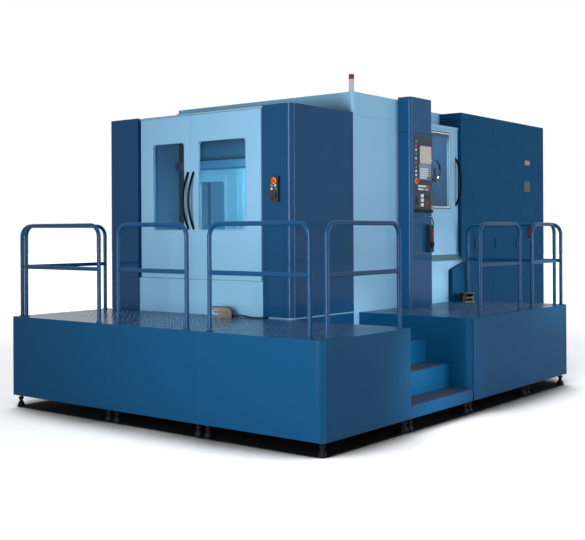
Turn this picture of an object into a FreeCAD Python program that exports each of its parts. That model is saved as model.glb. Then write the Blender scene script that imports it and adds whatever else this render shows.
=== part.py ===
import FreeCAD, Part
import math
import os
from FreeCAD import Vector

# A horizontal machining centre inside its enclosure, with the raised work platform round its loading front
# and its operator side. While it is being drawn, x = 0 is the platform's operator-side edge and the machine
# lies in negative x; y = 0 is the platform's front edge and the machine lies in positive y; z = 0 is the floor.
# save() moves every piece so that the origin is the centre of the whole footprint, on the floor.

# Overall plan, along y from the platform's front edge
machine_front = 1270.0         # y, face of the loading doors: depth of the front platform
loading_length = 1025.0        # loading station, from its doors to the taller main enclosure
side_wall_length = 862.0       # side wall, from the loading station to the control pillar
pillar_width = 433.0           # control pillar
operator_opening = 1005.0      # opening of the operator door, from the pillar to the cabinet
cabinet_length = 2370.0        # electrical cabinet
rear_service = 565.0           # cabinet and conveyor head stand this far behind the rear wall
main_front = machine_front + loading_length
pillar_near = main_front + side_wall_length
pillar_far = pillar_near + pillar_width
cabinet_near = pillar_far + operator_opening
overall_length = cabinet_near + cabinet_length
machine_rear = overall_length - rear_service

# Overall plan, along x from the operator-side edge, and heights
platform_width = 3850.0
machine_side = -1300.0         # x, operator-side face of the enclosure
machine_width = 2490.0
machine_left = machine_side - machine_width
machine_foot = 117.0           # z, lower edge of the enclosure panels and of the platform skirts
front_top = 2950.0             # z, top of the loading-station enclosure
main_top = 3165.0              # z, top of the main enclosure
sheet = 3.0                    # enclosure sheet
fold = 40.0                    # depth of a panel's folded edges
main_corner_radius = 30.0

# Platform
deck_top = 900.0
deck_plate = 6.0
skirt_sheet = 4.0
platform_corner_radius = 90.0
platform_bevel = 3.0           # along the top edges and at the joints between modules
middle_module_width = 1131.0
stair_width = 1120.0
side_near_length = 1244.0      # the two modules along the operator side
side_far_length = 989.0
seam_corner_x = machine_side
seam_middle_x = seam_corner_x - middle_module_width
seam_stairs_y = machine_front + stair_width
seam_side_y = seam_stairs_y + side_near_length
side_platform_length = seam_side_y + side_far_length
leg_size = 50.0
foot_inset = 55.0
foot_pad_radius = 32.0
foot_pad_height = 14.0
foot_screw_radius = 8.0
foot_nut_radius = 15.0
foot_nut_height = 12.0
foot_lug = 10.0
foot_clearance = 0.5
stair_rise = 225.0
tread_depth = 256.0
tread_sheet = 4.0

# Handrails: each stands on one module, its posts this far in from the module's two ends
rail_radius = 19.0
rail_bend = 110.0
rail_height = 900.0            # deck to the centre of the top run
rail_middle = 493.0            # deck to the centre of the middle run
rail_inset = 50.0              # platform edge to the centre of the posts
end_rail_inset = 43.0
front_rail_posts = ((-platform_width + 154.0, seam_middle_x - 182.0),
                    (seam_middle_x + 81.0, seam_corner_x - 186.0),
                    (seam_corner_x + 80.0, -166.0))
side_rail_posts = ((118.0, machine_front - 106.0),
                   (seam_stairs_y + 249.0, seam_side_y - 108.0),
                   (seam_side_y + 190.0, side_platform_length - 212.0))
left_rail_posts = (79.0, machine_front - 108.0)
end_rail_posts = (machine_side + 85.0, -46.0)

# Loading doors and the panels round them
left_pillar_width = 419.0
pillar_proud = 20.0
corner_width = 355.0           # x, front strip of the dark corner
column_radius = 60.0
lower_panel_top = 1250.0
door_thickness = 45.0
door_frame = 50.0              # width of a door's outer frame and of the frame round its window
left_door_gap = 31.0           # dark gaps between the leaves and the panels beside them
right_door_gap = 17.0
left_leaf_width = 730.0
door_meeting_gap = 6.0
door_gap = 4.0                 # below and above each leaf
pillar_right = machine_left + left_pillar_width
column_left = machine_side - corner_width
door_left_edge = pillar_right + left_door_gap
door_right_edge = column_left - right_door_gap
door_meeting = door_left_edge + left_leaf_width
door_top = front_top - 24.0
door_crease = 38.0             # groove across each leaf, above its lower edge
groove_depth = 1.5
groove_width = 4.0
front_roof_sheet = 4.0
pivot_bar = 16.0               # thickness of the bar over the doors that holds their upper pivots
pivot_inset = 26.0             # leaf edge to pivot
pivot_radius = 10.0
pivot_length = 36.0
pivot_clearance = 0.05
window_bottom = 1753.0
window_top = 2653.0
left_window = (door_left_edge + 179.0, door_meeting - 89.0)
right_window = (door_meeting + 104.0, door_right_edge - 194.0)
window_radius = 38.0
glass_thickness = 8.0
glass_lap = 16.0
glass_recess = 12.0            # rebate depth from the back of a door
bow_radius = 12.0
bow_depth = 75.0
bow_bottom = 1760.0
bow_top = 2346.0
bow_spacing = 76.0             # between the two bow handles
left_bow_x = door_meeting - bow_spacing / 2
right_bow_x = door_meeting + bow_spacing / 2

# Operator door
operator_face = machine_side - 52.0
operator_door_thickness = 38.0
operator_door_near = pillar_far + 6.0
operator_door_far = cabinet_near - 3.0
operator_door_bottom = 1456.0
shoulder_top = 2975.0
operator_door_top = shoulder_top - 19.0
operator_window = (operator_door_near + 164.0, operator_door_far - 200.0, 2017.0, 2880.0)
operator_door_travel = 850.0
track_clearance = 0.6
track_wall = 6.0
track_depth = 18.0
pocket_near = operator_door_near - operator_door_travel - 46.0
shoulder_wall = machine_side - 300.0   # x, wall above the operator door
apron_top = 1380.0
operator_bow = (operator_door_far - 51.0, 2031.0, 2610.0)
spin_centre = (operator_door_near + 454.0, 2441.0)
spin_radius = 112.0
spin_ring = 12.0
spin_depth = 20.0              # ring and arm, shallow enough to pass behind the side wall's fold

# Control pillar
pillar_depth = 165.0
pillar_face = machine_side + pillar_depth
pillar_radius = 36.0
pillar_top = 3190.0
pod_bottom = 1897.0
pod_top = 2803.0
pod_gap = 4.0
pod_back = machine_side + 15.0
pod_pivot_inset = 30.0
panel_plate = (pillar_near + 67.0, pillar_far - 10.0, pod_bottom + 35.0, pod_top - 26.0)
panel_thickness = 12.0
panel_proud = 2.0

# Emergency stop buttons
stop_radius = 20.0
stop_cap = 14.0
stop_travel = 6.0
stop_stem_radius = 8.0
stop_stem = 20.0
stop_collar_radius = 30.0
stop_collar = 3.0
station = (machine_side - 241.0, machine_side - 139.0, 2017.0, 2265.0)
station_depth = 30.0

# Electrical cabinet
cabinet_face = machine_side - 5.0
cabinet_depth = 400.0
cabinet_head = 100.0           # from the doors' upper edge to the cabinet's top
cabinet_top = main_top - 5.0
cabinet_near_post = 276.0      # width of the fixed front beside the first door
cabinet_far_post = 157.0
cabinet_near_door = 558.0      # widths of the first two doors, the third takes the rest
cabinet_middle_door = 598.0
cabinet_first_seam = cabinet_near + cabinet_near_post
cabinet_door_seams = (cabinet_first_seam, cabinet_first_seam + cabinet_near_door,
                      cabinet_first_seam + cabinet_near_door + cabinet_middle_door,
                      overall_length - cabinet_far_post)
cabinet_door_thickness = 20.0
cabinet_door_bottom = 120.0
cabinet_door_top = cabinet_top - cabinet_head
cabinet_seam = 5.0
cabinet_pivot_inset = 12.0
cabinet_pivot_radius = 5.0
cabinet_pivot_length = 15.0
duct_length = 330.0
breaker_centre = (cabinet_door_seams[2] + 450.0, 1712.0)
louvre_pitch = 30.0
louvre_count = 4

# Foot switches
foot_switch_length = 200.0
foot_switch_width = 120.0
foot_switch_height = 105.0
foot_switch_wall = 5.0
foot_switch_heel = 60.0        # length of the rounded heel
foot_switch_edge = 10.0        # radius along the hood's upper edges
front_switch = (-2040.0, 1120.0, 35.0)   # x, y of its middle on the deck, degrees from +x to its heel
side_switch = (-1125.0, 4385.0, 140.0)

# Inside
centre_x = (machine_left + machine_side) / 2   # through table, spindle and loading station
bed_top = 700.0
guide_height = 40.0
guide_width = 60.0
changer_y = main_front - 5.0   # axis that the pallet changer turns on, in the partition's plane
changer_reach = 590.0          # changer axis to pallet centre
changer_lift = 45.0            # pallets stand this far above the tables while the changer carries them
pallet_size = 630.0
pallet_thickness = 80.0
pallet_chamfer = 80.0
turntable_radius = 270.0
turntable_bottom = 1040.0
turntable_top = 1130.0
turntable_pin = 40.0
seat_bore_radius = 25.0
tapped_radius = 7.0
tapped_spacing = 500.0
beam_inner = 322.0             # changer beams, either side of the pallets
beam_outer = 372.0
beam_tongue = 285.0
beam_length = 820.0
quill_radius = 80.0
partition_margin = 300.0       # between the partition's ends and the enclosure's sides
partition_half = machine_width / 2 - partition_margin
partition_bottom = 1140.0
partition_top = 2440.0
partition_thickness = 30.0
partition_window = (centre_x - partition_half + 58.0, centre_x - partition_half + 441.0, 1754.0, 2305.0)
column_length = 900.0
column_setback = 1450.0        # y, rear wall to the column's front
column_front = machine_rear - column_setback
column_half = 360.0
column_top = 3060.0
column_guides = (180.0, 720.0)         # y, from the column bed's front to its two guideways
spindle_z = 1900.0
spindle_nose = column_front - 500.0
magazine_centre = (column_front + 400.0, 2000.0)
magazine_radius = 640.0
tool_count = 24
conveyor = (machine_left + 130.0, machine_left + 530.0, 150.0, 420.0)    # x, x, z, z of the conveyor's trough
conveyor_start = changer_y + 810.0
conveyor_discharge = 1420.0            # z, top of the conveyor's head


def block(x0, x1, y0, y1, z0, z1):
    return Part.makeBox(x1 - x0, y1 - y0, z1 - z0, Vector(x0, y0, z0))


def cylinder(x, y, z, radius, length, axis=Vector(0, 0, 1)):
    return Part.makeCylinder(radius, length, Vector(x, y, z), axis)


def joined(*shapes):
    return shapes[0].fuse(list(shapes[1:])).removeSplitter()


def rounded(solid, axis, radius, near=None):
    """Round the edges of a block that run along axis: all of them, or those that near picks by their middle."""
    edges = []
    for edge in solid.Edges:
        along = edge.tangentAt(edge.FirstParameter)
        middle = edge.CenterOfMass
        if along.cross(axis).Length < 1e-6 and (near is None or near(middle)):
            edges.append(edge)
    return solid.makeFillet(radius, edges)


def prism(points, axis, depth):
    """A closed outline of points, pushed along axis by depth."""
    wire = Part.makePolygon([Vector(*p) for p in points] + [Vector(*points[0])])
    return Part.Face(wire).extrude(axis * depth)


def tray(x0, x1, y0, y1, z0, z1, open_side):
    """A folded panel: a sheet with its four edges turned back towards open_side."""
    inner = {"x0": x0 + sheet, "x1": x1 - sheet, "y0": y0 + sheet, "y1": y1 - sheet,
             "z0": z0 + sheet, "z1": z1 - sheet}
    inner[open_side] += -2 * sheet if open_side.endswith("0") else 2 * sheet
    return block(x0, x1, y0, y1, z0, z1).cut(block(**inner))


def round_bar(points, radius):
    """A bar of round section along straight runs and arcs, given as (start, end) or (start, middle, end)."""
    edges = [Part.makeLine(*p) if len(p) == 2 else Part.Arc(*p).toShape() for p in points]
    start = edges[0].valueAt(edges[0].FirstParameter)
    direction = edges[0].tangentAt(edges[0].FirstParameter)
    section = Part.Wire(Part.makeCircle(radius, start, direction))
    return Part.Wire(edges).makePipeShell([section], True, False)


def outline_face(runs):
    """A face inside closed runs: straight ones of two points, arcs of three."""
    edges = [Part.makeLine(*p) if len(p) == 2 else Part.Arc(*p).toShape() for p in runs]
    return Part.Face(Part.Wire(edges))


def save(name, shape):
    moved = shape.copy()
    moved.translate(Vector(platform_width / 2, -overall_length / 2, 0))
    moved.exportStep("parts/" + name + ".step")


# ---------------------------------------------------------------- platform
def foot(x, y):
    """A levelling foot: a pad, its screw and the nut under the lug that it carries."""
    pad = cylinder(x, y, 0, foot_pad_radius, foot_pad_height)
    screw = cylinder(x, y, foot_pad_height, foot_screw_radius, machine_foot + 3 * foot_lug - foot_pad_height)
    nut = Part.Face(Part.makePolygon([
        Vector(x + foot_nut_radius * math.cos(k * math.pi / 3), y + foot_nut_radius * math.sin(k * math.pi / 3),
               machine_foot - foot_nut_height) for k in range(7)])).extrude(Vector(0, 0, foot_nut_height))
    return joined(pad, screw, nut)


def foot_lug_plate(x, y):
    """The plate in a module's corner that a foot's screw passes through."""
    half = leg_size / 2
    plate = block(x - half, x + half, y - half, y + half, machine_foot, machine_foot + foot_lug)
    return plate.cut(cylinder(x, y, machine_foot - 1, foot_screw_radius + foot_clearance, foot_lug + 2))


def module_feet(x0, x1, y0, y1):
    return [(x, y) for x in (x0 + foot_inset, x1 - foot_inset) for y in (y0 + foot_inset, y1 - foot_inset)]


def platform(x0, x1, y0, y1, skirts, round_corner=None):
    """A platform module: a deck plate on a skirt of folded sheet, with under-deck channels and corner legs."""
    outer = block(x0, x1, y0, y1, machine_foot, deck_top)
    inside = {"x0": x0, "x1": x1, "y0": y0, "y1": y1, "z0": machine_foot - 1, "z1": deck_top - deck_plate}
    for side in skirts:
        inside[side] += skirt_sheet if side.endswith("0") else -skirt_sheet
    inner = block(**inside)
    if round_corner:
        outer = rounded(outer, Vector(0, 0, 1), platform_corner_radius,
                        lambda m: abs(m.x - round_corner[0]) < 1 and abs(m.y - round_corner[1]) < 1)
        inner = rounded(inner, Vector(0, 0, 1), platform_corner_radius - skirt_sheet,
                        lambda m: abs(m.x - round_corner[0]) < 2 * skirt_sheet
                        and abs(m.y - round_corner[1]) < 2 * skirt_sheet)
    ends = [e for e in outer.Edges if abs(e.CenterOfMass.z - deck_top) < 1
            or (abs(e.CenterOfMass.z - (machine_foot + deck_top) / 2) < 1
                and e.CenterOfMass.x in (x0, x1) and e.CenterOfMass.y in (y0, y1))]
    outer = outer.makeChamfer(platform_bevel, ends)
    pieces = [outer.cut(inner)]
    under = deck_top - deck_plate
    for share in (0.33, 0.67):
        x = x0 + share * (x1 - x0)
        pieces.append(block(x - leg_size / 2, x + leg_size / 2, y0 + skirt_sheet, y1 - skirt_sheet,
                            under - leg_size, under))
    for x, y in module_feet(x0, x1, y0, y1):
        leg_x = x0 + skirt_sheet if x < (x0 + x1) / 2 else x1 - skirt_sheet - leg_size / 4
        leg = block(leg_x, leg_x + leg_size / 4, y - leg_size / 2, y + leg_size / 2, machine_foot, under)
        lug = foot_lug_plate(x, y)
        tie = block(min(leg_x, x - leg_size / 2), max(leg_x + leg_size / 4, x + leg_size / 2),
                    y - leg_size / 2, y + leg_size / 2, machine_foot, machine_foot + foot_lug)
        tie = tie.cut(cylinder(x, y, machine_foot - 1, foot_screw_radius + foot_clearance, foot_lug + 2))
        pieces += [leg, joined(lug, tie)]
    return joined(*pieces)


def platform_steps():
    """Two treads and a landing of folded sheet between the front and the side platform."""
    y0, y1 = machine_front, seam_stairs_y
    run = -2 * tread_depth
    top = [(0, stair_rise), (-tread_depth, stair_rise), (-tread_depth, 2 * stair_rise), (run, 2 * stair_rise),
           (run, 3 * stair_rise), (machine_side, 3 * stair_rise)]
    outline = [(0, machine_foot)] + top + [(machine_side, machine_foot)]
    lower = [(x - tread_sheet, z - tread_sheet) for x, z in top]
    lower[-1] = (machine_side - 1, 3 * stair_rise - tread_sheet)
    cavity = [(-tread_sheet, machine_foot - 1)] + lower + [(machine_side - 1, machine_foot - 1)]
    solid = prism([(x, y0, z) for x, z in outline], Vector(0, 1, 0), y1 - y0)
    hollow = prism([(x, y0 + skirt_sheet, z) for x, z in cavity], Vector(0, 1, 0), y1 - y0 - 2 * skirt_sheet)
    pieces = [solid.cut(hollow)]
    for x, y in module_feet(machine_side, 0, y0, y1):
        pieces.append(foot_lug_plate(x, y))
        wall = y0 if y < (y0 + y1) / 2 else y1
        pieces.append(block(x - leg_size / 2, x + leg_size / 2, min(wall, y), max(wall, y),
                            machine_foot, machine_foot + foot_lug)
                      .cut(cylinder(x, y, machine_foot - 1, foot_screw_radius + foot_clearance, foot_lug + 2)))
    return joined(*pieces)


modules = {
    "platform_corner": [(seam_corner_x, 0.0, 0.0, machine_front)],
    "platform_middle": [(seam_middle_x, seam_corner_x, 0.0, machine_front)],
    "platform_left": [(-platform_width, seam_middle_x, 0.0, machine_front)],
    "platform_side": [(machine_side, 0.0, seam_stairs_y, seam_side_y),
                      (machine_side, 0.0, seam_side_y, side_platform_length)],
}


def rail(start, end):
    """A handrail: one pipe bent into two posts and a top run, with a middle run welded between the posts."""
    up = Vector(0, 0, 1)
    foot_a, foot_b = Vector(start[0], start[1], deck_top), Vector(end[0], end[1], deck_top)
    along = (foot_b - foot_a).normalize()
    straight = rail_height - rail_bend
    part_turn = rail_bend * math.sqrt(0.5)
    bend_a = (foot_a + up * straight,
              foot_a + up * (straight + part_turn) + along * (rail_bend - part_turn),
              foot_a + up * rail_height + along * rail_bend)
    bend_b = (foot_b + up * rail_height - along * rail_bend,
              foot_b + up * (straight + part_turn) - along * (rail_bend - part_turn),
              foot_b + up * straight)
    hoop = round_bar([(foot_a, bend_a[0]), bend_a, (bend_a[2], bend_b[0]), bend_b, (bend_b[2], foot_b)],
                     rail_radius)
    middle = Part.makeCylinder(rail_radius, (foot_b - foot_a).Length, foot_a + up * rail_middle, along)
    return joined(hoop, middle)


def build_platform():
    for name, sizes in modules.items():
        solids = []
        for x0, x1, y0, y1 in sizes:
            skirts = ["y0", "y1"]
            skirts += ["x1"] if x1 == 0 else []
            skirts += ["x0"] if x0 == -platform_width else []
            corner = (x1, y0) if x1 == 0 and y0 != seam_side_y else None
            solids.append(platform(x0, x1, y0, y1, skirts, corner))
        save(name, solids[0] if len(solids) == 1 else Part.makeCompound(solids))
    save("platform_steps", platform_steps())
    stands = [spot for sizes in modules.values() for size in sizes for spot in module_feet(*size)]
    stands += module_feet(machine_side, 0, machine_front, seam_stairs_y)
    save("levelling_feet", Part.makeCompound([foot(x, y) for x, y in stands]))
    save("rails_front", Part.makeCompound([rail((a, rail_inset), (b, rail_inset)) for a, b in front_rail_posts]))
    save("rails_side", Part.makeCompound([rail((-rail_inset, a), (-rail_inset, b)) for a, b in side_rail_posts]))
    left_x = -platform_width + rail_inset
    end_y = side_platform_length - end_rail_inset
    save("rails_end", Part.makeCompound([rail((left_x, left_rail_posts[0]), (left_x, left_rail_posts[1])),
                                         rail((end_rail_posts[0], end_y), (end_rail_posts[1], end_y))]))


# ---------------------------------------------------------------- enclosure
def pivot(x, y, z, length, radius=pivot_radius):
    return cylinder(x, y, z, radius, length)


def pivot_hole(x, y, z, length, radius=pivot_radius):
    return cylinder(x, y, z, radius + pivot_clearance, length)


left_pivot = (door_left_edge + pivot_inset, machine_front + door_thickness / 2)
right_pivot = (door_right_edge - pivot_inset, machine_front + door_thickness / 2)
door_bottom = lower_panel_top + door_gap
inner_left = machine_left + fold
inner_side = machine_side - fold
magazine_bracket_depth = 30.0
magazine_axle_radius = 50.0
magazine_x = inner_left + 90.0         # back of the magazine's wheel


def corner_cover():
    """The dark corner: a front strip and the side panel folded from one sheet round a rounded corner."""
    outer = rounded(block(column_left, machine_side, machine_front, main_front, machine_foot, front_top),
                    Vector(0, 0, 1), column_radius,
                    lambda m: abs(m.x - machine_side) < 1 and abs(m.y - machine_front) < 1)
    inner = rounded(block(column_left - 1, machine_side - sheet, machine_front + sheet, main_front + 1,
                          machine_foot - 1, front_top + 1),
                    Vector(0, 0, 1), column_radius - sheet,
                    lambda m: m.x > machine_side - 2 * sheet and m.y < machine_front + 2 * sheet)
    shell = outer.cut(inner)
    edge = block(column_left, column_left + sheet, machine_front, machine_front + fold, machine_foot, front_top)
    back = block(inner_side, machine_side, main_front - sheet, main_front, machine_foot, front_top)
    hole = cylinder(cable_entry[0], machine_front - 1, cable_entry[1], cable_radius + 2, sheet + 2, Vector(0, 1, 0))
    return joined(shell, edge, back).cut(hole)


def main_cover():
    """The light main enclosure: side wall, header above the loading station, bulkhead behind the loading
    station with the shutter's beam, shoulder over the operator door and the wall that steps in above it."""
    top = main_top - sheet
    side = tray(inner_side, machine_side, main_front, pillar_far, machine_foot, top, "x0")
    header = tray(machine_left, machine_side, main_front, main_front + fold, front_top, top, "y1")
    shoulder = block(shoulder_wall, machine_side - fold - track_wall, pillar_far, cabinet_near,
                     shoulder_top - sheet, shoulder_top)
    step_wall = block(shoulder_wall, shoulder_wall + sheet, pillar_far, cabinet_near, shoulder_top - sheet, top)
    step_return = block(shoulder_wall, machine_side, pillar_far - sheet, pillar_far, shoulder_top - sheet, top)
    face = operator_face + track_clearance
    back = operator_face - operator_door_thickness - track_clearance
    guide = block(back - track_wall, face + track_wall, pocket_near, cabinet_near,
                  operator_door_top - track_depth, shoulder_top)
    guide = guide.cut(block(back, face, pocket_near - 1, cabinet_near + 1,
                            operator_door_top - track_depth - 1, operator_door_top + track_clearance))
    guide_shelf = block(face, machine_side - sheet, pocket_near, pillar_far, shoulder_top - sheet, shoulder_top)
    seam = front_top - 20
    groove = block(machine_side - groove_depth, machine_side + 1, main_front, pillar_near, seam,
                   seam + groove_width)
    plates = joined(side, header, shoulder, step_wall, step_return, guide, guide_shelf, bulkhead())
    return joined(plates.cut(main_corner(front_top, top)).cut(groove), main_corner_post(top))


def main_corner(z0, z1):
    """What the rounding takes off the main enclosure's front corner."""
    radius = main_corner_radius
    sharp = block(machine_side - radius, machine_side + 1, main_front - 1, main_front + radius, z0, z1)
    return sharp.cut(cylinder(machine_side - radius, main_front + radius, z0 - 1, radius, z1 - z0 + 2))


def main_corner_post(top):
    """The folded corner itself, above the loading station."""
    def near_corner(m):
        return m.x > machine_side - 2 * sheet and m.y < main_front + 2 * sheet
    outer = rounded(block(inner_side, machine_side, main_front, main_front + fold, front_top, top),
                    Vector(0, 0, 1), main_corner_radius, near_corner)
    inner = rounded(block(inner_side - 1, machine_side - sheet, main_front + sheet, main_front + fold + 1,
                          front_top - 1, top + 1), Vector(0, 0, 1), main_corner_radius - sheet, near_corner)
    return outer.cut(inner)


def bulkhead():
    """The fixed wall round the changer's partition: jambs, the cross beam above and the plates below."""
    y0, y1 = main_front, main_front + sheet
    left, right = machine_left + sheet, machine_side - sheet
    wall = block(left, right, y0, y1, bed_top, front_top + sheet)
    reach = partition_half + 4
    lintel = partition_top + 20
    beam_depth, beam_height = 60.0, 85.0
    wall = wall.cut(block(centre_x - reach, centre_x + reach, y0 - 1, y1 + 1,
                          partition_bottom - changer_lift - 20, lintel))
    quill_way = quill_radius + 180
    wall = wall.cut(block(centre_x - quill_way, centre_x + quill_way, y0 - 1, y1 + 1, bed_top - 1,
                          partition_bottom))
    beam = block(left, inner_side, y0 - beam_depth, y0, lintel, lintel + beam_height)
    beam = beam.cut(block(left - 1, inner_side + 1, y0 - beam_depth + sheet, y0 - sheet, lintel + sheet,
                          lintel + beam_height - sheet))
    jambs = [block(x, x + fold, y0 - fold, y0, partition_bottom, lintel + 1)
             for x in (centre_x - reach - fold - 2, centre_x + reach + 2)]
    return joined(wall, beam, *jambs)


def left_wall():
    """The left side: one sheet that steps up at the main enclosure, stiffened by channels."""
    y0 = machine_front + fold
    outline = [(machine_left, y0, machine_foot), (machine_left, machine_rear, machine_foot),
               (machine_left, machine_rear, main_top - sheet),
               (machine_left, main_front + fold, main_top - sheet), (machine_left, main_front + fold, front_top),
               (machine_left, y0, front_top)]
    main_ribs = 6
    first, last = main_front + changer_reach - 85, machine_rear - fold
    places = [y0, (machine_front + main_front) / 2]
    places += [first + (last - first) * k / (main_ribs - 1) for k in range(main_ribs)]
    ribs = [block(machine_left, inner_left, y, y + fold, machine_foot, front_top)
            .cut(block(machine_left + sheet, inner_left - sheet, y + sheet, y + fold - sheet, machine_foot - 1,
                       front_top + 1)) for y in places]
    return joined(prism(outline, Vector(1, 0, 0), sheet), magazine_bracket(), *ribs)


def magazine_bracket():
    """The channel and stub axle welded to the left wall, on which the tool magazine turns."""
    y, z = magazine_centre
    out = Vector(1, 0, 0)
    plate = block(machine_left + 1, inner_left + magazine_bracket_depth, y - 200, y + 200, z - 300, z + 300)
    start = inner_left + magazine_bracket_depth - 10
    boss = cylinder(start, y, z, 90, magazine_x - start - 1, out)
    axle = cylinder(start, y, z, magazine_axle_radius, magazine_x - start + 48, out)
    return joined(plate, boss, axle)


def rear_wall():
    """The rear wall, with the chip conveyor's opening."""
    right = cabinet_face - cabinet_depth
    wall = tray(inner_left, right, machine_rear - fold, machine_rear, machine_foot, main_top - sheet, "y0")
    return wall.cut(block(conveyor[0] - 10, conveyor[1] + 10, machine_rear - fold - 1, machine_rear + 1,
                          machine_foot - 1, conveyor[3] + 320))


def roof_panels():
    """The roofs of the loading station and of the main enclosure, with the upper door pivots."""
    z0 = door_top + door_gap
    low = joined(block(inner_left, inner_side, machine_front + fold + sheet, main_front - sheet,
                       z0, z0 + front_roof_sheet),
                 block(pillar_right, column_left, machine_front + 4, machine_front + fold + sheet,
                       z0, z0 + pivot_bar))
    for x, y in (left_pivot, right_pivot):
        low = low.fuse(pivot(x, y, z0 - door_gap - pivot_length, pivot_length + door_gap))
    outline = [(machine_left, main_front), (machine_side, main_front), (machine_side, pillar_far),
               (shoulder_wall, pillar_far), (shoulder_wall, machine_rear), (machine_left, machine_rear)]
    high = prism([(x, y, main_top - sheet) for x, y in outline], Vector(0, 0, 1), sheet)
    high = high.cut(main_corner(main_top - 2 * sheet, main_top + 1))
    return Part.makeCompound([low, high])


def build_enclosure():
    pillar_foot = deck_top + sheet
    save("left_pillar", joined(
        tray(machine_left, pillar_right, machine_front - pillar_proud, machine_front + fold, pillar_foot,
             front_top, "y1"),
        tray(machine_left, pillar_right, machine_front, machine_front + fold, machine_foot, pillar_foot, "y1")))
    panel = tray(pillar_right, column_left, machine_front, machine_front + fold, machine_foot,
                 lower_panel_top, "y1")
    shelf = block(pillar_right, column_left, machine_front, machine_front + door_thickness + 10,
                  lower_panel_top - 2 * sheet, lower_panel_top)
    pins = [pivot(x, y, lower_panel_top - sheet, pivot_length + sheet + door_gap)
            for x, y in (left_pivot, right_pivot)]
    save("lower_panel", joined(panel, shelf, *pins))
    save("corner_cover", corner_cover())
    save("main_cover", main_cover())
    save("left_wall", left_wall())
    save("rear_wall", rear_wall())
    save("roof_panels", roof_panels())


# ---------------------------------------------------------------- loading doors
def loading_leaf(x0, x1, window, pivot_at):
    """A hinged leaf: a skin on a frame, open at the back, with a rebated window and a pivot hole at each end."""
    y0, y1 = machine_front, machine_front + door_thickness
    leaf = block(x0, x1, y0, y1, door_bottom, door_top)
    opening = rounded(block(window[0], window[1], y0 - 1, y1 + 1, window_bottom, window_top),
                      Vector(0, 1, 0), window_radius)
    rebate = rounded(block(window[0] - glass_lap, window[1] + glass_lap, y1 - glass_recess, y1 + 1,
                           window_bottom - glass_lap, window_top + glass_lap), Vector(0, 1, 0), window_radius)
    pocket = block(x0 + door_frame, x1 - door_frame, y0 + sheet, y1 + 1, door_bottom + door_frame,
                   door_top - door_frame)
    pocket = pocket.cut(block(window[0] - door_frame, window[1] + door_frame, y0, y1 + 2,
                              window_bottom - door_frame, window_top + door_frame))
    crease = block(x0 - 1, x1 + 1, y0 - 1, y0 + groove_depth, door_bottom + door_crease,
                   door_bottom + door_crease + groove_width)
    leaf = leaf.cut(pocket).cut(opening).cut(rebate).cut(crease)
    for z in (door_bottom - 1, door_top - pivot_length):
        leaf = leaf.cut(pivot_hole(*pivot_at, z, pivot_length + 1))
    return leaf


def loading_glass(window):
    y0 = machine_front + door_thickness - glass_recess
    return rounded(block(window[0] - glass_lap, window[1] + glass_lap, y0, y0 + glass_thickness,
                         window_bottom - glass_lap, window_top + glass_lap), Vector(0, 1, 0), window_radius)


def bow_handle(place, low, high, outward, seat):
    """A bow handle: a round bar bent to an arc, with a foot at each end. place maps (out, z) to a point."""
    arc = round_bar([(place(-6, low), place(bow_depth, (low + high) / 2), place(-6, high))], bow_radius)
    feet = [Part.makeCylinder(bow_radius + 4, 5, place(0, z), outward) for z in (low + 12, high - 12)]
    return joined(arc, *feet).cut(seat)


def build_loading_doors():
    gap = door_meeting_gap / 2
    leaves = {"left": (door_left_edge, door_meeting - gap, left_window, left_pivot, left_bow_x),
              "right": (door_meeting + gap, door_right_edge, right_window, right_pivot, right_bow_x)}
    for side, (x0, x1, window, pivot_at, bow_x) in leaves.items():
        save("door_" + side, loading_leaf(x0, x1, window, pivot_at))
        save("glass_" + side, loading_glass(window))
        seat = block(x0, x1, machine_front, machine_front + door_thickness, door_bottom, door_top)
        save("handle_" + side, bow_handle(lambda out, z: Vector(bow_x, machine_front - out, z),
                                          bow_bottom, bow_top, Vector(0, -1, 0), seat))


# ---------------------------------------------------------------- operator door
def operator_apron():
    """The panel under the operator door, its sloped sill and the door's floor track."""
    panel = tray(inner_side, machine_side, pillar_far, cabinet_near, machine_foot, apron_top, "x0")
    face = operator_face + track_clearance
    back = operator_face - operator_door_thickness - track_clearance
    track_top = operator_door_bottom - track_clearance + track_depth
    sill_top = operator_door_bottom - 6
    sill = prism([(machine_side, pillar_far, apron_top), (face + track_wall, pillar_far, sill_top),
                  (face + track_wall, pillar_far, apron_top - sheet),
                  (machine_side, pillar_far, apron_top - sheet)],
                 Vector(0, 1, 0), cabinet_near - pillar_far)
    track = block(back - track_wall, face + track_wall, pocket_near, cabinet_near,
                  apron_top - sheet, track_top)
    track = track.cut(block(back, face, pocket_near - 1, cabinet_near + 1,
                            operator_door_bottom - track_clearance, track_top + 1))
    hollow = block(back, face, pocket_near - 1, cabinet_near + 1, apron_top, sill_top - track_wall)
    return joined(panel, sill, track.cut(hollow))


def operator_door():
    x1 = operator_face
    x0 = x1 - operator_door_thickness
    y0, y1, z0, z1 = operator_window
    leaf = block(x0, x1, operator_door_near, operator_door_far, operator_door_bottom, operator_door_top)
    opening = rounded(block(x0 - 1, x1 + 1, y0, y1, z0, z1), Vector(1, 0, 0), window_radius / 2)
    rebate = block(x1 - glass_recess, x1 + 1, y0 - glass_lap, y1 + glass_lap, z0 - glass_lap, z1 + glass_lap)
    pocket = block(x0 - 1, x1 - sheet, operator_door_near + door_frame, operator_door_far - door_frame,
                   operator_door_bottom + door_frame, operator_door_top - door_frame)
    pocket = pocket.cut(block(x0 - 2, x1, y0 - door_frame, y1 + door_frame, z0 - door_frame, z1 + door_frame))
    return leaf.cut(pocket).cut(opening).cut(rebate)


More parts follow.
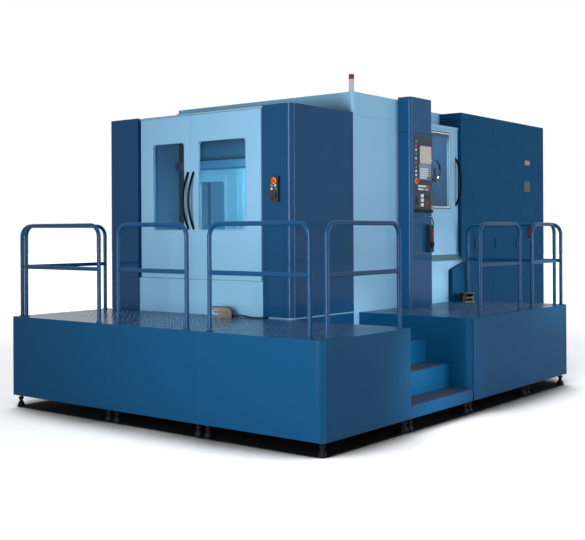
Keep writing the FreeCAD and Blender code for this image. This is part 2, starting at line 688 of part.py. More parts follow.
def operator_glass():
    y0, y1, z0, z1 = operator_window
    x0 = operator_face - glass_recess
    pane = block(x0, x0 + glass_thickness, y0 - glass_lap, y1 + glass_lap, z0 - glass_lap, z1 + glass_lap)
    return pane.cut(cylinder(x0 - 1, *spin_centre, spin_radius + spin_ring, glass_thickness + 2,
                             Vector(1, 0, 0)))


def spin_frame():
    """The fixed ring of the clear-view window, with the arm that carries the disc's motor."""
    x0 = operator_face - glass_recess
    y, z = spin_centre
    out = Vector(1, 0, 0)
    ring = cylinder(x0, y, z, spin_radius + spin_ring, spin_depth, out).cut(
        cylinder(x0 - 1, y, z, spin_radius + 1, spin_depth + 2, out))
    arm = block(x0 + spin_depth - 6, x0 + spin_depth, y - 14, y + 14, z - spin_radius - 30, z)
    hub = cylinder(x0 + spin_depth - 6, y, z, 26, 7, out)
    shaft = cylinder(x0 - 2, y, z, 8, spin_depth - 3, out)
    return joined(ring, arm, hub, shaft)


def spin_window():
    x0 = operator_face - glass_recess + 2
    y, z = spin_centre
    out = Vector(1, 0, 0)
    disc = cylinder(x0, y, z, spin_radius, 8, out).fuse(cylinder(x0, y, z, 20, 11, out))
    return disc.cut(cylinder(x0 - 1, y, z, 8 + pivot_clearance, 20, out)).removeSplitter()


def build_operator_door():
    save("operator_apron", operator_apron())
    save("operator_door", operator_door())
    save("operator_glass", operator_glass())
    save("spin_frame", spin_frame())
    save("spin_window", spin_window())
    y, low, high = operator_bow
    seat = block(operator_face - operator_door_thickness, operator_face, operator_door_near, operator_door_far,
                 operator_door_bottom, operator_door_top)
    save("operator_handle", bow_handle(lambda out, z: Vector(operator_face + out, y, z), low, high,
                                       Vector(1, 0, 0), seat))


# ---------------------------------------------------------------- control pillar
pod_pivot = (pillar_face - pod_pivot_inset, pillar_far - pod_pivot_inset)
panel_stop = (panel_plate[0] + 37.0, panel_plate[2] + 346.0)              # y, z
station_stop = ((station[0] + station[1]) / 2, station[3] - 47.0)         # x, z


def pillar_block(x0, z0, z1, inset=0.0, deeper=0.0):
    """A length of the pillar with its rounded near edge; inset and deeper shrink it for a hollow inside."""
    face = pillar_face - inset - deeper
    return rounded(block(x0, face, pillar_near + inset, pillar_far - inset, z0 + inset, z1 - inset),
                   Vector(0, 0, 1), pillar_radius - inset,
                   lambda m: abs(m.x - face) < 1 and abs(m.y - pillar_near - inset) < 1)


def control_pillar():
    """The pillar's fixed foot and head, the strip behind the pod and the pod's two pivots."""
    low = pillar_block(machine_side, deck_top + 6, pod_bottom - pod_gap)
    low = low.cut(pillar_block(machine_side - 1, deck_top + 6, pod_bottom - pod_gap, skirt_sheet))
    high = pillar_block(machine_side, pod_top + pod_gap, pillar_top)
    high = high.cut(pillar_block(machine_side - 1, pod_top + pod_gap, pillar_top, skirt_sheet))
    back = block(machine_side, pod_back - 9, pillar_near + 10, pillar_far, pod_bottom - pod_gap - 1,
                 pod_top + pod_gap + 1)
    pins = [pivot(*pod_pivot, pod_bottom - pod_gap - 1, pivot_length),
            pivot(*pod_pivot, pod_top + pod_gap + 1 - pivot_length, pivot_length)]
    plinth = block(machine_side, pillar_face - 12, pillar_near + 12, pillar_far - 12, deck_top, deck_top + 7)
    return joined(low, high, back, plinth, *pins)


def stop_hole(x, y, z, inward, depth):
    return cylinder(x, y, z, stop_stem_radius + pivot_clearance, depth, inward)


def control_pod():
    pod = pillar_block(pod_back, pod_bottom, pod_top)
    y0, y1, z0, z1 = panel_plate
    pod = pod.cut(block(pillar_face - panel_thickness + panel_proud, pillar_face + 1, y0, y1, z0, z1))
    hollow = pillar_block(pod_back - 1, pod_bottom, pod_top, skirt_sheet, 2 * panel_thickness)
    ends = [block(pod_back - 2, pillar_face, pillar_far - 2 * pod_pivot_inset, pillar_far, z, z + pivot_length + 14)
            for z in (pod_bottom, pod_top - pivot_length - 14)]
    pod = pod.cut(hollow.cut(ends))
    for z in (pod_bottom - 1, pod_top + 1 - pivot_length):
        pod = pod.cut(pivot_hole(*pod_pivot, z, pivot_length))
    return pod.cut(stop_hole(pillar_face, *panel_stop, Vector(-1, 0, 0), 50))


def control_panel():
    """The grey operating panel: plate, screen in its bezel, raised key field, button blocks, hand dial and
    palm rest."""
    y0, y1, z0, z1 = panel_plate
    x1 = pillar_face + panel_proud
    out = Vector(1, 0, 0)
    unit_near, unit_far = y0 + 98, y1 - 8
    plate = block(x1 - panel_thickness, x1, y0, y1, z0, z1)
    bezel = rounded(block(x1, x1 + 8, unit_near, unit_far, z1 - 299, z1 - 113), out, 8)
    screen = block(x1 + 5, x1 + 9, unit_near + 20, unit_far - 20, z1 - 283, z1 - 129)
    field = rounded(block(x1 - 1, x1 + 4, unit_near, unit_far, z0 + 366, z1 - 303), out, 8)
    keys = [block(x1 + 3, x1 + 7, y, y + 19, z, z + 18)
            for y in [unit_near + 12 + 25 * column for column in range(9)]
            for z in [z0 + 378 + 24 * row for row in range(6)]]
    side = [block(x1 - 1, x1 + 4, y0 + 18, y0 + 40, z0 + 398 + 46 * k, z0 + 420 + 46 * k) for k in range(9)]
    lower = [block(x1 - 1, x1 + 4, y0 + 76 + 34 * c, y0 + 100 + 34 * c, z, z + 20)
             for c in range(7) for z in (z0 + 248, z0 + 282)]
    dial = cylinder(x1 - 1, y0 + 66, z0 + 128, 34, 22, out)
    knobs = [cylinder(x1 - 1, y0 + u, z0 + v, 16, 18, out) for u in (246, 306) for v in (108, 178)]
    rest = block(x1 - 1, x1 + 26, y0, y1, z0 + 4, z0 + 36)
    rest = rest.makeChamfer(6, [e for e in rest.Edges if e.CenterOfMass.x > x1 + 25])
    collar = cylinder(x1, *panel_stop, stop_collar_radius, stop_collar, out)
    panel = joined(plate, bezel.cut(screen), field, dial, rest, collar, *keys, *side, *lower, *knobs)
    return panel.cut(stop_hole(x1 + stop_collar + 1, *panel_stop, Vector(-1, 0, 0), 50))


def emergency_stop(x, y, z, outward):
    """A mushroom push button on its stem, turned in one piece; x, y, z is on the collar's face."""
    start = Vector(x, y, z)
    across = Vector(0, 0, 1)
    under = stop_travel + 1
    top = under + stop_cap
    crown = stop_cap / 3
    profile = [(-stop_stem, 0), (top, 0), (top, stop_radius - crown), (top - crown, stop_radius),
               (under, stop_radius), (under, stop_stem_radius), (-stop_stem, stop_stem_radius)]
    points = [start + outward * along + across * radius for along, radius in profile]
    section = Part.Face(Part.makePolygon(points + points[:1]))
    return section.revolve(start, outward, 360)


def pendant():
    """The black hand-wheel box on the pillar's foot, with its wheel and red button, and the cable hook
    beside it."""
    x0 = pillar_face
    out = Vector(1, 0, 0)
    near, far = pillar_far - 120, pillar_far - 35
    low, high = pod_bottom - 399, pod_bottom - 99
    middle = (near + far) / 2
    box = rounded(block(x0, x0 + 48, near, far, low, high), out, 10)
    wheel = cylinder(x0 + 48, middle, low + 82, 30, 14, out)
    button = cylinder(x0 + 48, middle, low + 196, 16, 20, out)
    x, y, z = machine_side + 100, pillar_far, pod_bottom - 17
    turn, stub, drop = 24.0, 12.0, 46.0
    part_turn = turn * math.sqrt(0.5)
    bend = Vector(x, y + stub + turn, z - turn)
    hook = round_bar([(Vector(x, y, z), Vector(x, y + stub, z)),
                      (Vector(x, y + stub, z), Vector(x, y + stub + part_turn, z - turn + part_turn), bend),
                      (bend, bend - Vector(0, 0, drop))], 6)
    return Part.makeCompound([joined(box, wheel, button), hook])


def station_box():
    """The black push-button box on the dark corner, with its collar, four buttons and a selector."""
    x0, x1, z0, z1 = station
    y0 = machine_front - station_depth
    x, z = station_stop
    box = rounded(block(x0, x1, y0, machine_front, z0, z1), Vector(0, 1, 0), 8)
    out = Vector(0, -1, 0)
    collar = cylinder(x, y0, z, stop_collar_radius, stop_collar, out)
    buttons = [cylinder(x + u, y0, z1 - v, 9, 7, out) for u in (-22, 22) for v in (93, 125)]
    selector = block(x - 28, x + 28, y0 - 16, y0, z0 + 29, z0 + 89)
    selector = selector.makeChamfer(4, [e for e in selector.Edges if e.CenterOfMass.y < y0 - 15])
    return joined(box, collar, selector, *buttons).cut(
        stop_hole(x, y0 - stop_collar - 1, z, Vector(0, 1, 0), station_depth - 2))


def build_controls():
    save("control_pillar", control_pillar())
    save("control_pod", control_pod())
    save("control_panel", control_panel())
    save("panel_stop", emergency_stop(pillar_face + panel_proud + stop_collar, *panel_stop, Vector(1, 0, 0)))
    save("pendant", pendant())
    save("station_box", station_box())
    save("station_stop", emergency_stop(station_stop[0], machine_front - station_depth - stop_collar,
                                        station_stop[1], Vector(0, -1, 0)))


# ---------------------------------------------------------------- electrical cabinet
cabinet_back = cabinet_face - cabinet_depth
duct_depth = 50.0
cabinet_doors = {"near": (cabinet_door_seams[0], cabinet_door_seams[1]),
                 "middle": (cabinet_door_seams[1], cabinet_door_seams[2]),
                 "far": (cabinet_door_seams[2], cabinet_door_seams[3])}


def cabinet_pivot(door):
    return (cabinet_face - cabinet_door_thickness / 2, cabinet_doors[door][1] - cabinet_pivot_inset)


def cabinet_body():
    """The cabinet: sheet box on a plinth, open behind its doors, with mullions, mounting plate and drives,
    and the sloped cable duct on the side next to the operator door."""
    y0, y1 = cabinet_near, overall_length
    outer = block(cabinet_back, cabinet_face, y0, y1, 0, cabinet_top)
    inner = block(cabinet_back + sheet, cabinet_face - cabinet_door_thickness, y0 + sheet, y1 - sheet,
                  cabinet_door_bottom, cabinet_door_top)
    plinth = block(cabinet_back + sheet, cabinet_face - sheet, y0 + sheet, y1 - sheet, -1,
                   cabinet_door_bottom - 2 * sheet)
    header = block(cabinet_back + sheet, cabinet_face - sheet, y0 + sheet, y1 - sheet,
                   cabinet_door_top + 2 * sheet, cabinet_top - sheet)
    outer = outer.cut(plinth).cut(header.cut(block(cabinet_back, cabinet_back + fold, y0, y1, 0, main_top)))
    doorway = block(cabinet_face - cabinet_door_thickness - 1, cabinet_face + 1,
                    cabinet_door_seams[0] - cabinet_seam / 2, cabinet_door_seams[3] + cabinet_seam / 2,
                    cabinet_door_bottom, cabinet_door_top)
    mullion_front = cabinet_face - cabinet_door_thickness - 12
    mullions = [block(mullion_front - 30, mullion_front, y - 25, y + 25, cabinet_door_bottom - 1,
                      cabinet_door_top + 1) for y in cabinet_door_seams[1:3]]
    plate_low, plate_high = cabinet_door_bottom + 180, cabinet_door_top - 160
    plate = block(cabinet_back + fold - sheet, cabinet_back + fold, y0 + 60, y1 - 60, plate_low, plate_high)
    plate = plate.fuse([block(cabinet_back + sheet - 1, cabinet_back + fold - 2, y0 + 80, y1 - 80, z, z + 40)
                        for z in (plate_low + 40, (plate_low + plate_high) / 2 - 40, plate_high - 80)])
    drives = []
    drive_height, drive_gap = 525.0, 90.0
    row_pitch = (plate_high - plate_low - 150) / 3
    for row in range(3):
        z0 = plate_low + 150 + row * row_pitch
        pitch = (y1 - y0 - 300) / (4 + row)
        front = cabinet_back + 190 - 20 * row
        for column in range(4 + row):
            y = y0 + 150 + column * pitch
            drive = block(cabinet_back + fold - 1, front, y, y + pitch - drive_gap, z0, z0 + drive_height)
            drives.append(drive.cut(block(cabinet_back + fold - 2, front - sheet, y + sheet,
                                          y + pitch - drive_gap - sheet, z0 - 1, z0 + drive_height - sheet)))
    pins = []
    for door in cabinet_doors:
        x, y = cabinet_pivot(door)
        pins.append(pivot(x, y, cabinet_door_bottom - 1, cabinet_pivot_length + 3, cabinet_pivot_radius))
        pins.append(pivot(x, y, cabinet_door_top - 2 - cabinet_pivot_length, cabinet_pivot_length + 3,
                          cabinet_pivot_radius))
    duct_foot, duct_high = deck_top + 2, apron_top - 24
    duct = prism([(machine_side, y0, duct_foot), (machine_side, y0 - duct_length, duct_foot),
                  (machine_side, y0 - duct_length, duct_high - 81), (machine_side, y0, duct_high)],
                 Vector(1, 0, 0), duct_depth)
    neck = block(cabinet_face - 5, machine_side + duct_depth, y0, y0 + 30, duct_foot, duct_high)
    louvre_low = cabinet_top - 150
    louvres = [prism([(shoulder_wall + 20, y0, z), (shoulder_wall + 20, y0 - 9, z),
                      (shoulder_wall + 20, y0 - 9, z + 3), (shoulder_wall + 20, y0, z + 16)],
                     Vector(1, 0, 0), cabinet_face - shoulder_wall - 40)
               for z in [louvre_low + louvre_pitch * k for k in range(louvre_count)]]
    body = joined(outer.cut(inner).cut(doorway), plate, *mullions, *drives, *pins)
    return joined(body, duct, neck, *louvres)


def cabinet_door(door):
    y0, y1 = cabinet_doors[door]
    gap = cabinet_seam / 2
    x1 = cabinet_face
    leaf = block(x1 - cabinet_door_thickness, x1, y0 + gap, y1 - gap, cabinet_door_bottom + 2,
                 cabinet_door_top - 2)
    leaf = leaf.cut(block(x1 - cabinet_door_thickness - 1, x1 - sheet, y0 + 30, y1 - 34,
                          cabinet_door_bottom + 30, cabinet_door_top - 30))
    x, y = cabinet_pivot(door)
    for z in (cabinet_door_bottom + 1, cabinet_door_top - 3 - cabinet_pivot_length):
        leaf = leaf.cut(pivot_hole(x, y, z, cabinet_pivot_length + 3, cabinet_pivot_radius))
    latch = rounded(block(x1 - 1, x1 + 12, y0 + 60, y0 + 90, 1500, 1640), Vector(1, 0, 0), 10)
    pieces = [leaf, latch]
    if door == "far":
        y, z = breaker_centre
        pieces.append(block(x1 - sheet, x1 + 6, y - 50, y + 50, z - 110, z + 110))
        pieces.append(block(x1 - sheet, x1 + 4, y0 + 319, y0 + 494, 2609, 2681))
        pieces.append(block(x1 - sheet, x1 + 4, y0 + 316, y0 + 491, 2255, 2398))
        body = joined(*pieces)
        return body.cut(cylinder(x1 - 40, y, z, 10 + pivot_clearance, 60, Vector(1, 0, 0)))
    return joined(*pieces)


def breaker_handle():
    """The main switch's turning handle."""
    y, z = breaker_centre
    x = cabinet_face + 6
    grip = rounded(block(x + 6, x + 34, y - 14, y + 14, z - 90, z + 90), Vector(1, 0, 0), 13)
    hub = cylinder(x + 0.5, y, z, 30, 12, Vector(1, 0, 0))
    shaft = cylinder(x - 24, y, z, 10, 30, Vector(1, 0, 0))
    return joined(grip, hub, shaft)


tower_stem = 128.0


def build_cabinet():
    save("cabinet_body", cabinet_body())
    for door in cabinet_doors:
        save("cabinet_door_" + door, cabinet_door(door))
    save("breaker_handle", breaker_handle())
    x, y = machine_side - 55, main_front + 55
    base = block(x - 30, x + 30, y - 30, y + 30, main_top, main_top + 6)
    stem = main_top + 12
    save("tower_body", joined(base, cylinder(x, y, main_top + 6, 29, 6), cylinder(x, y, stem, 27, tower_stem)))
    save("tower_lens", cylinder(x, y, stem + tower_stem, 28, 45))


# ---------------------------------------------------------------- foot switches
def switch_place(shape, spot):
    x, y, turn = spot
    placed = shape.copy()
    placed.rotate(Vector(0, 0, 0), Vector(0, 0, 1), turn)
    placed.translate(Vector(x, y, deck_top))
    return placed


gland_height = 21.0
gland_length = 16.0
pedal_axle = (40.0, 30.0)      # along the switch from its middle, and above the deck
pedal_axle_radius = 5.0


def hood_side(inset, toe, sole, v):
    """The guard's side view: flat sole, rounded heel and a hood that runs level to the toe."""
    heel, top = foot_switch_length / 2 - inset, foot_switch_height - inset
    radius = foot_switch_heel - inset
    bend, rise = heel - radius, top - radius
    part_turn = radius * math.sqrt(0.5)
    points = [Vector(u, v, z) for u, z in
              ((toe, sole), (heel, sole), (heel, rise), (bend + part_turn, rise + part_turn), (bend, top), (toe, top))]
    return outline_face([points[0:2], points[1:3], points[2:5], points[4:6], (points[5], points[0])])


def foot_switch(spot):
    """The cast guard: a rounded hood open at the toe, side walls and sole, with the pedal's axle across it."""
    half, wall, height = foot_switch_length / 2, foot_switch_wall, foot_switch_height
    width = foot_switch_width / 2
    body = hood_side(0, -half, 0, -width).extrude(Vector(0, 2 * width, 0))
    body = body.makeFillet(foot_switch_edge, [e for e in body.Edges if abs(abs(e.CenterOfMass.y) - width) < 0.1
                                              and e.CenterOfMass.z > 1 and e.CenterOfMass.x > 1 - half])
    body = body.cut(hood_side(wall, -half - 1, wall + 3, wall - width).extrude(Vector(0, 2 * (width - wall), 0)))
    body = body.cut(block(-half - 1, -half + 55, -width - 1, width + 1, wall + 3, height - 30))
    axle = cylinder(pedal_axle[0], -width, pedal_axle[1], pedal_axle_radius, 2 * width, Vector(0, 1, 0))
    gland = cylinder(half - wall, 0, gland_height, 13, wall + gland_length, Vector(1, 0, 0))
    return switch_place(joined(body, axle, gland), spot)


def foot_pedal(spot):
    """The ribbed pedal on its axle, toe end up at rest."""
    u, z = pedal_axle
    width = foot_switch_width / 2 - foot_switch_wall - 4
    boss = cylinder(u, -width, z, 10, 2 * width, Vector(0, 1, 0))
    plate = prism([(u, -width, z - 4), (u, -width, z + 6), (-88, -width, z + 26), (-88, -width, z + 16)],
                  Vector(0, 1, 0), 2 * width)
    pedal = joined(boss, plate)
    pedal = pedal.cut(cylinder(u, -width - 1, z, pedal_axle_radius + pivot_clearance, 2 * width + 2,
                               Vector(0, 1, 0)))
    return switch_place(pedal, spot)


cable_radius = 8.0
cable_entry = (-1600.0, deck_top + 12.0)   # x, z where the cable goes into the dark corner
gland_reach = foot_switch_length / 2 + gland_length


def cable_points():
    """The cable's route along the deck: out of the switch's gland and into the foot of the dark corner."""
    x, y, turn = front_switch
    c, s = math.cos(math.radians(turn)), math.sin(math.radians(turn))
    lying = deck_top + cable_radius + 0.5
    start = Vector(x + gland_reach * c, y + gland_reach * s, deck_top + gland_height)
    return [start, Vector(-1896, 1221, deck_top + gland_height), Vector(-1826, 1222, lying + 2.5),
            Vector(-1744, 1187.8, lying), Vector(-1683, 1177, lying), Vector(-1631, 1197.6, lying + 0.5),
            Vector(cable_entry[0], 1244, cable_entry[1]),
            Vector(cable_entry[0], machine_front + 30, cable_entry[1])]


def build_foot_switches():
    for side, spot in (("front", front_switch), ("side", side_switch)):
        save("foot_switch_" + side, foot_switch(spot))
        save("foot_pedal_" + side, foot_pedal(spot))


# ---------------------------------------------------------------- inside the enclosure
station_y = changer_y - changer_reach
work_y = changer_y + changer_reach
pallet_bottom = turntable_top + changer_lift
table_guide_top = bed_top - 20.0
bed_underside = 60.0
conveyor_gap = 10.0            # conveyor trough to the column's bed
bed_cabinet_gap = 85.0         # column's bed to the cabinet's back
quill_housing_radius = 170.0


def machine_bed():
    """The cast bed: pedestal of the loading station and the changer, table bed and column bed with their
    guideways, all on levelling pads."""
    x0, x1 = centre_x - 400, centre_x + 400
    left, right = conveyor[1] + conveyor_gap, cabinet_back - bed_cabinet_gap
    back = column_front + column_length + 50
    near, far = station_y - 250, changer_y + 170
    table_bed_top = table_guide_top - guide_height
    pedestal = block(centre_x - 330, centre_x + 330, near, far, bed_underside, bed_top)
    hub = cylinder(centre_x, station_y, bed_top - 1, 200, turntable_bottom - bed_top - 1)
    pin = cylinder(centre_x, station_y, turntable_bottom - 3, turntable_pin, 40)
    housing = cylinder(centre_x, changer_y, bed_underside, quill_housing_radius, bed_top + 299 - bed_underside)
    bore = cylinder(centre_x, changer_y, bed_top - bed_underside, quill_radius + pivot_clearance, 400)
    table_bed = block(x0, x1, far - 1, column_front + 10, bed_underside, table_bed_top)
    column_bed = block(left, right, column_front, back, bed_underside, bed_top)
    guides = [block(x - guide_width / 2, x + guide_width / 2, far + 40, column_front - 60, table_bed_top - 1,
                    table_guide_top) for x in (centre_x - 300, centre_x + 300)]
    guides += [block(left + 5, right - 15, y - guide_width / 2, y + guide_width / 2, bed_top - 1,
                     bed_top + guide_height) for y in [column_front + reach for reach in column_guides]]
    pads = [cylinder(centre_x + u, y, 0, 70, bed_underside + 1) for u, y in
            ((-250, station_y - 150), (250, station_y - 150), (-300, changer_y + 610), (300, changer_y + 610),
             (-300, column_front - 550), (300, column_front - 550))]
    pads += [cylinder(x, y, 0, 70, bed_underside + 1) for x in (left + 105, right - 105)
             for y in (column_front + 130, back - 120)]
    bed = joined(pedestal, hub, pin, table_bed, column_bed, *guides)
    web = 40
    webs = [block(x0, x1, changer_y + 810 + 600 * k, changer_y + 810 + 600 * k + web, 0, bed_top) for k in range(3)]
    webs += [block(x, x + web, column_front, back, 0, bed_top) for x in (centre_x - 220, centre_x + 240)]
    under, wall = bed_underside - 1, 60
    crown = 80
    hollows = [block(centre_x - 270, centre_x + 270, near + wall, far - wall, under, bed_top - crown),
               block(x0 + 70, x1 - 70, far + wall, column_front - wall, under, table_bed_top - crown),
               block(left + 65, right - 65, column_front + wall, back - wall, under, bed_top - crown)]
    for hollow in hollows:
        bed = bed.cut(hollow.cut(webs))
    return joined(bed, housing, *pads).cut(bore)


def pallet(y):
    """A square pallet with clipped corners, a locating bore and four tapped holes."""
    half, cut = pallet_size / 2, pallet_chamfer
    outline = [(-half, -half + cut), (-half + cut, -half), (half - cut, -half), (half, -half + cut),
               (half, half - cut), (half - cut, half), (-half + cut, half), (-half, half - cut)]
    plate = prism([(centre_x + u, y + v, pallet_bottom) for u, v in outline], Vector(0, 0, 1), pallet_thickness)
    plate = plate.cut(cylinder(centre_x, y, pallet_bottom - 1, seat_bore_radius, pallet_thickness + 2))
    reach = tapped_spacing / 2
    for u in (-reach, reach):
        for v in (-reach, reach):
            plate = plate.cut(cylinder(centre_x + u, y + v, pallet_bottom - 1, tapped_radius,
                                       pallet_thickness + 2))
    return plate


def turntable(y):
    """A round table top with a bore for the pin that it turns on."""
    top = cylinder(centre_x, y, turntable_bottom, turntable_radius, turntable_top - turntable_bottom)
    return top.cut(cylinder(centre_x, y, turntable_bottom - 1, turntable_pin + pivot_clearance, 60))


def table_saddle():
    """The saddle that carries the rotary table along the bed, with a shoe round each guide at either end."""
    deck = block(centre_x - 400, centre_x + 400, work_y - 340, work_y + 340, table_guide_top + 0.3,
                 turntable_bottom - 2)
    shoes = []
    for x in (centre_x - 300, centre_x + 300):
        for y in (work_y - 240, work_y + 240):
            shoe = block(x - guide_width / 2 - 25, x + guide_width / 2 + 25, y - 90, y + 90,
                         table_guide_top - guide_height + 3, table_guide_top + 1)
            shoes.append(shoe.cut(block(x - guide_width / 2 - 0.3, x + guide_width / 2 + 0.3, y - 91, y + 91,
                                        table_guide_top - guide_height, table_guide_top + 0.3)))
    pin = cylinder(centre_x, work_y, turntable_bottom - 3, turntable_pin, 40)
    hollow = block(centre_x - 230, centre_x + 230, work_y - 290, work_y + 290, table_guide_top,
                   turntable_bottom - 80)
    return joined(deck, pin, *shoes).cut(hollow)


spindle_radius = 70.0
quill_top = 1062.0
arm_pin = (50.0, 60.0)     # radius and length of the quill's pin in the changer arm


def changer_quill():
    """The column that lifts the changer out of its housing, with the pin that the arm turns on."""
    stem = cylinder(centre_x, changer_y, bed_top, quill_radius, quill_top - 2 - bed_top)
    return joined(stem, cylinder(centre_x, changer_y, quill_top - 3, arm_pin[0], arm_pin[1]))


def changer_arm():
    """The changer's arm: a hub with two beams that run past both pallets and tongues under the pallets' edges."""
    low, high = turntable_top + 3, pallet_bottom + 40
    hub = cylinder(centre_x, changer_y, quill_top, 180, low + 1 - quill_top)
    cross = block(centre_x - beam_outer, centre_x + beam_outer, changer_y - 180, changer_y + 180, low,
                  pallet_bottom)
    pieces = [cross]
    for side in (-1, 1):
        near, far = sorted((side * beam_inner, side * beam_outer))
        pieces.append(block(centre_x + near, centre_x + far, changer_y - beam_length, changer_y + beam_length,
                            low, high))
        near, far = sorted((side * beam_tongue, side * (beam_inner + 1)))
        for y in (station_y, work_y):
            pieces.append(block(centre_x + near, centre_x + far, y - 160, y + 160, low, pallet_bottom))
    arm = joined(hub, *pieces)
    return arm.cut(cylinder(centre_x, changer_y, quill_top - 1, arm_pin[0] + pivot_clearance, arm_pin[1] + 1))


def changer_partition():
    """The wall that turns with the changer, standing on its beams: a sheet in a frame, with a window in a
    raised panel on one half and two upright guides beside it."""
    y0, y1 = changer_y - partition_thickness / 2, changer_y + partition_thickness / 2
    left, right = centre_x - partition_half, centre_x + partition_half
    body = block(left, right, y0, y1, partition_bottom, partition_top)
    for x0, x1 in ((left + 40, centre_x - 20), (centre_x + 20, right - 40)):
        body = body.cut(block(x0, x1, y0 + sheet, y1 + 1, partition_bottom + 120, partition_top - 40))
    window = partition_window
    raised = block(left + 20, window[1] + 29, y0 - 10, y0, partition_bottom + 100, partition_top - 20)
    frame = block(window[0] - 22, window[1] + 22, y0, y1, window[2] - 22, window[3] + 22)
    guides = [block(centre_x - u, centre_x - u + 30, y0 - 22, y0, partition_bottom + 100, partition_top - 20)
              for u in (327, 253)]
    opening = rounded(block(window[0], window[1], y0 - 11, y1 + 1, window[2], window[3]), Vector(0, 1, 0),
                      window_radius)
    notch = block(centre_x - beam_outer - 8, centre_x + beam_outer + 8, y0 - 30, y1 + 1, partition_bottom - 1,
                  pallet_bottom + 40)
    return joined(body, raised, frame, *guides).cut(opening).cut(notch)


def column():
    """The travelling column: two uprights on a base, tied at the top, with guide strips for the head."""
    z0 = bed_top + guide_height + 0.3
    y0, y1 = column_front + 30, column_front + column_length
    left, right = centre_x - column_half, centre_x + column_half
    upright = 140
    tie_bottom = column_top - 200
    base = block(left, right, y0, y1, z0, z0 + 260)
    uprights = [block(x, x + upright, y0, y1 - 150, z0 + 250, column_top - 60) for x in (left, right - upright)]
    tie = block(left, right, y0, y1 - 150, tie_bottom, column_top)
    strips = [block(x - 25, x + 25, y0 - 30, y0 + 1, z0 + 200, column_top - 80)
              for x in (left + upright / 2, right - upright / 2)]
    casting = joined(base, tie, *uprights, *strips)
    casting = casting.cut(block(left + 60, right - 60, y0 + 60, y1 - 60, z0 - 1, z0 + 200))
    for x in (left, right - upright):
        casting = casting.cut(block(x + 30, x + upright - 30, y0 + 60, y1 - 149, z0 + 300, tie_bottom - 40))
    return casting


def spindle_head():
    """The head: a cast body between the uprights, wings that run on the guide strips and, in front, the
    tapering housing of the spindle."""
    z = spindle_z
    out = Vector(0, 1, 0)
    body = block(centre_x - 205, centre_x + 205, column_front - 50, column_front + 550, z - 250, z + 280)
    wings = block(centre_x - column_half + 10, centre_x + column_half - 10, column_front - 60, column_front - 0.4,
                  z - 230, z + 260)
    housing = Part.makeCone(150, 215, 260, Vector(centre_x, column_front - 310, z), out)
    nose = cylinder(centre_x, spindle_nose + 30, z, 125, column_front - 290 - spindle_nose, out)
    bore = cylinder(centre_x, spindle_nose, z, spindle_radius + pivot_clearance, 420, out)
    return joined(body, wings, housing, nose).cut(bore)


def spindle():
    """The spindle: a turned shaft with a flange at its nose, drive keys and the tapered tool socket."""
    out = Vector(0, 1, 0)
    shaft = cylinder(centre_x, spindle_nose + 4, spindle_z, spindle_radius, 400, out)
    flange = cylinder(centre_x, spindle_nose, spindle_z, 88, 29.5, out)
    socket = Part.makeCone(35, 20, 102, Vector(centre_x, spindle_nose - 1, spindle_z), out)
    keys = [block(centre_x + u - 12, centre_x + u + 12, spindle_nose - 8, spindle_nose + 1,
                  spindle_z - 12, spindle_z + 12) for u in (-60, 60)]
    return joined(shaft, flange, *keys).cut(socket)


def tool_magazine():
    """The disc magazine: a spoked wheel on its hub with a ring of tool pots."""
    y, z = magazine_centre
    x0 = magazine_x
    out = Vector(1, 0, 0)
    wheel = cylinder(x0, y, z, magazine_radius + 30, 50, out).cut(
        cylinder(x0 - 1, y, z, magazine_radius - 110, 60, out))
    spokes = [block(x0, x0 + 40, y - magazine_radius + 60, y + magazine_radius - 60, z - 45, z + 45),
              block(x0, x0 + 40, y - 45, y + 45, z - magazine_radius + 60, z + magazine_radius - 60)]
    hub = cylinder(x0, y, z, 110, 70, out)
    pots = []
    for k in range(tool_count):
        turn = 2 * math.pi * k / tool_count
        py, pz = y + magazine_radius * math.cos(turn), z + magazine_radius * math.sin(turn)
        pots.append(cylinder(x0 + 40, py, pz, 52, 120, out).cut(cylinder(x0 + 90, py, pz, 34, 80, out)))
    wheel = joined(wheel, hub, *spokes, *pots)
    return wheel.cut(cylinder(x0 - 1, y, z, magazine_axle_radius + pivot_clearance, 60, out))


def chip_conveyor():
    """The chip conveyor: a trough along the floor, a riser behind the machine and a head with its chute."""
    x0, x1, z0, z1 = conveyor
    wall = 10.0
    start, foot_end = conveyor_start, machine_rear + 80
    head_near, head_far = overall_length - 325, overall_length - 35
    head_low, head_high = conveyor_discharge - 260, conveyor_discharge
    knee = machine_rear - 100
    profile = [(start, z0), (foot_end, z0), (head_far, head_low), (head_far, head_high), (head_near, head_high),
               (knee, z1), (start, z1)]
    solid = prism([(x0, y, z) for y, z in profile], Vector(1, 0, 0), x1 - x0)
    solid = solid.fuse(block(x0 - 40, x1 + 40, machine_rear, machine_rear + 4, z0, z1 + 350))
    inside = [(start + wall, z0 + wall), (foot_end - 8, z0 + wall), (head_far - 12, head_low + 2),
              (head_far - 12, head_high - 12), (head_near + 8, head_high - 12), (knee + 8, z1 - wall),
              (knee - 130, z1 - wall), (knee - 130, z1 + 1), (start + wall, z1 + 1)]
    solid = solid.cut(prism([(x0 + wall, y, z) for y, z in inside], Vector(1, 0, 0), x1 - x0 - 2 * wall))
    chute_near, chute_far = head_far - 70, overall_length - 10
    chute_low, chute_high = head_low - 200, head_low + 80
    chute = block(x0 + 30, x1 - 30, chute_near, chute_far, chute_low, chute_high)
    chute = chute.cut(block(x0 + 36, x1 - 36, chute_near + 6, chute_far - 6, chute_low - 1, chute_high - 10))
    motor = cylinder(x1, (head_near + head_far) / 2, head_high - 100, 60, 130, Vector(1, 0, 0))
    legs = [block(x, x + 40, y, y + 60, 0, z0 + 1) for x in (x0 + 20, x1 - 60)
            for y in (start + 200, (start + machine_rear) / 2, machine_rear - 20)]
    return joined(solid, chute, motor, *legs)


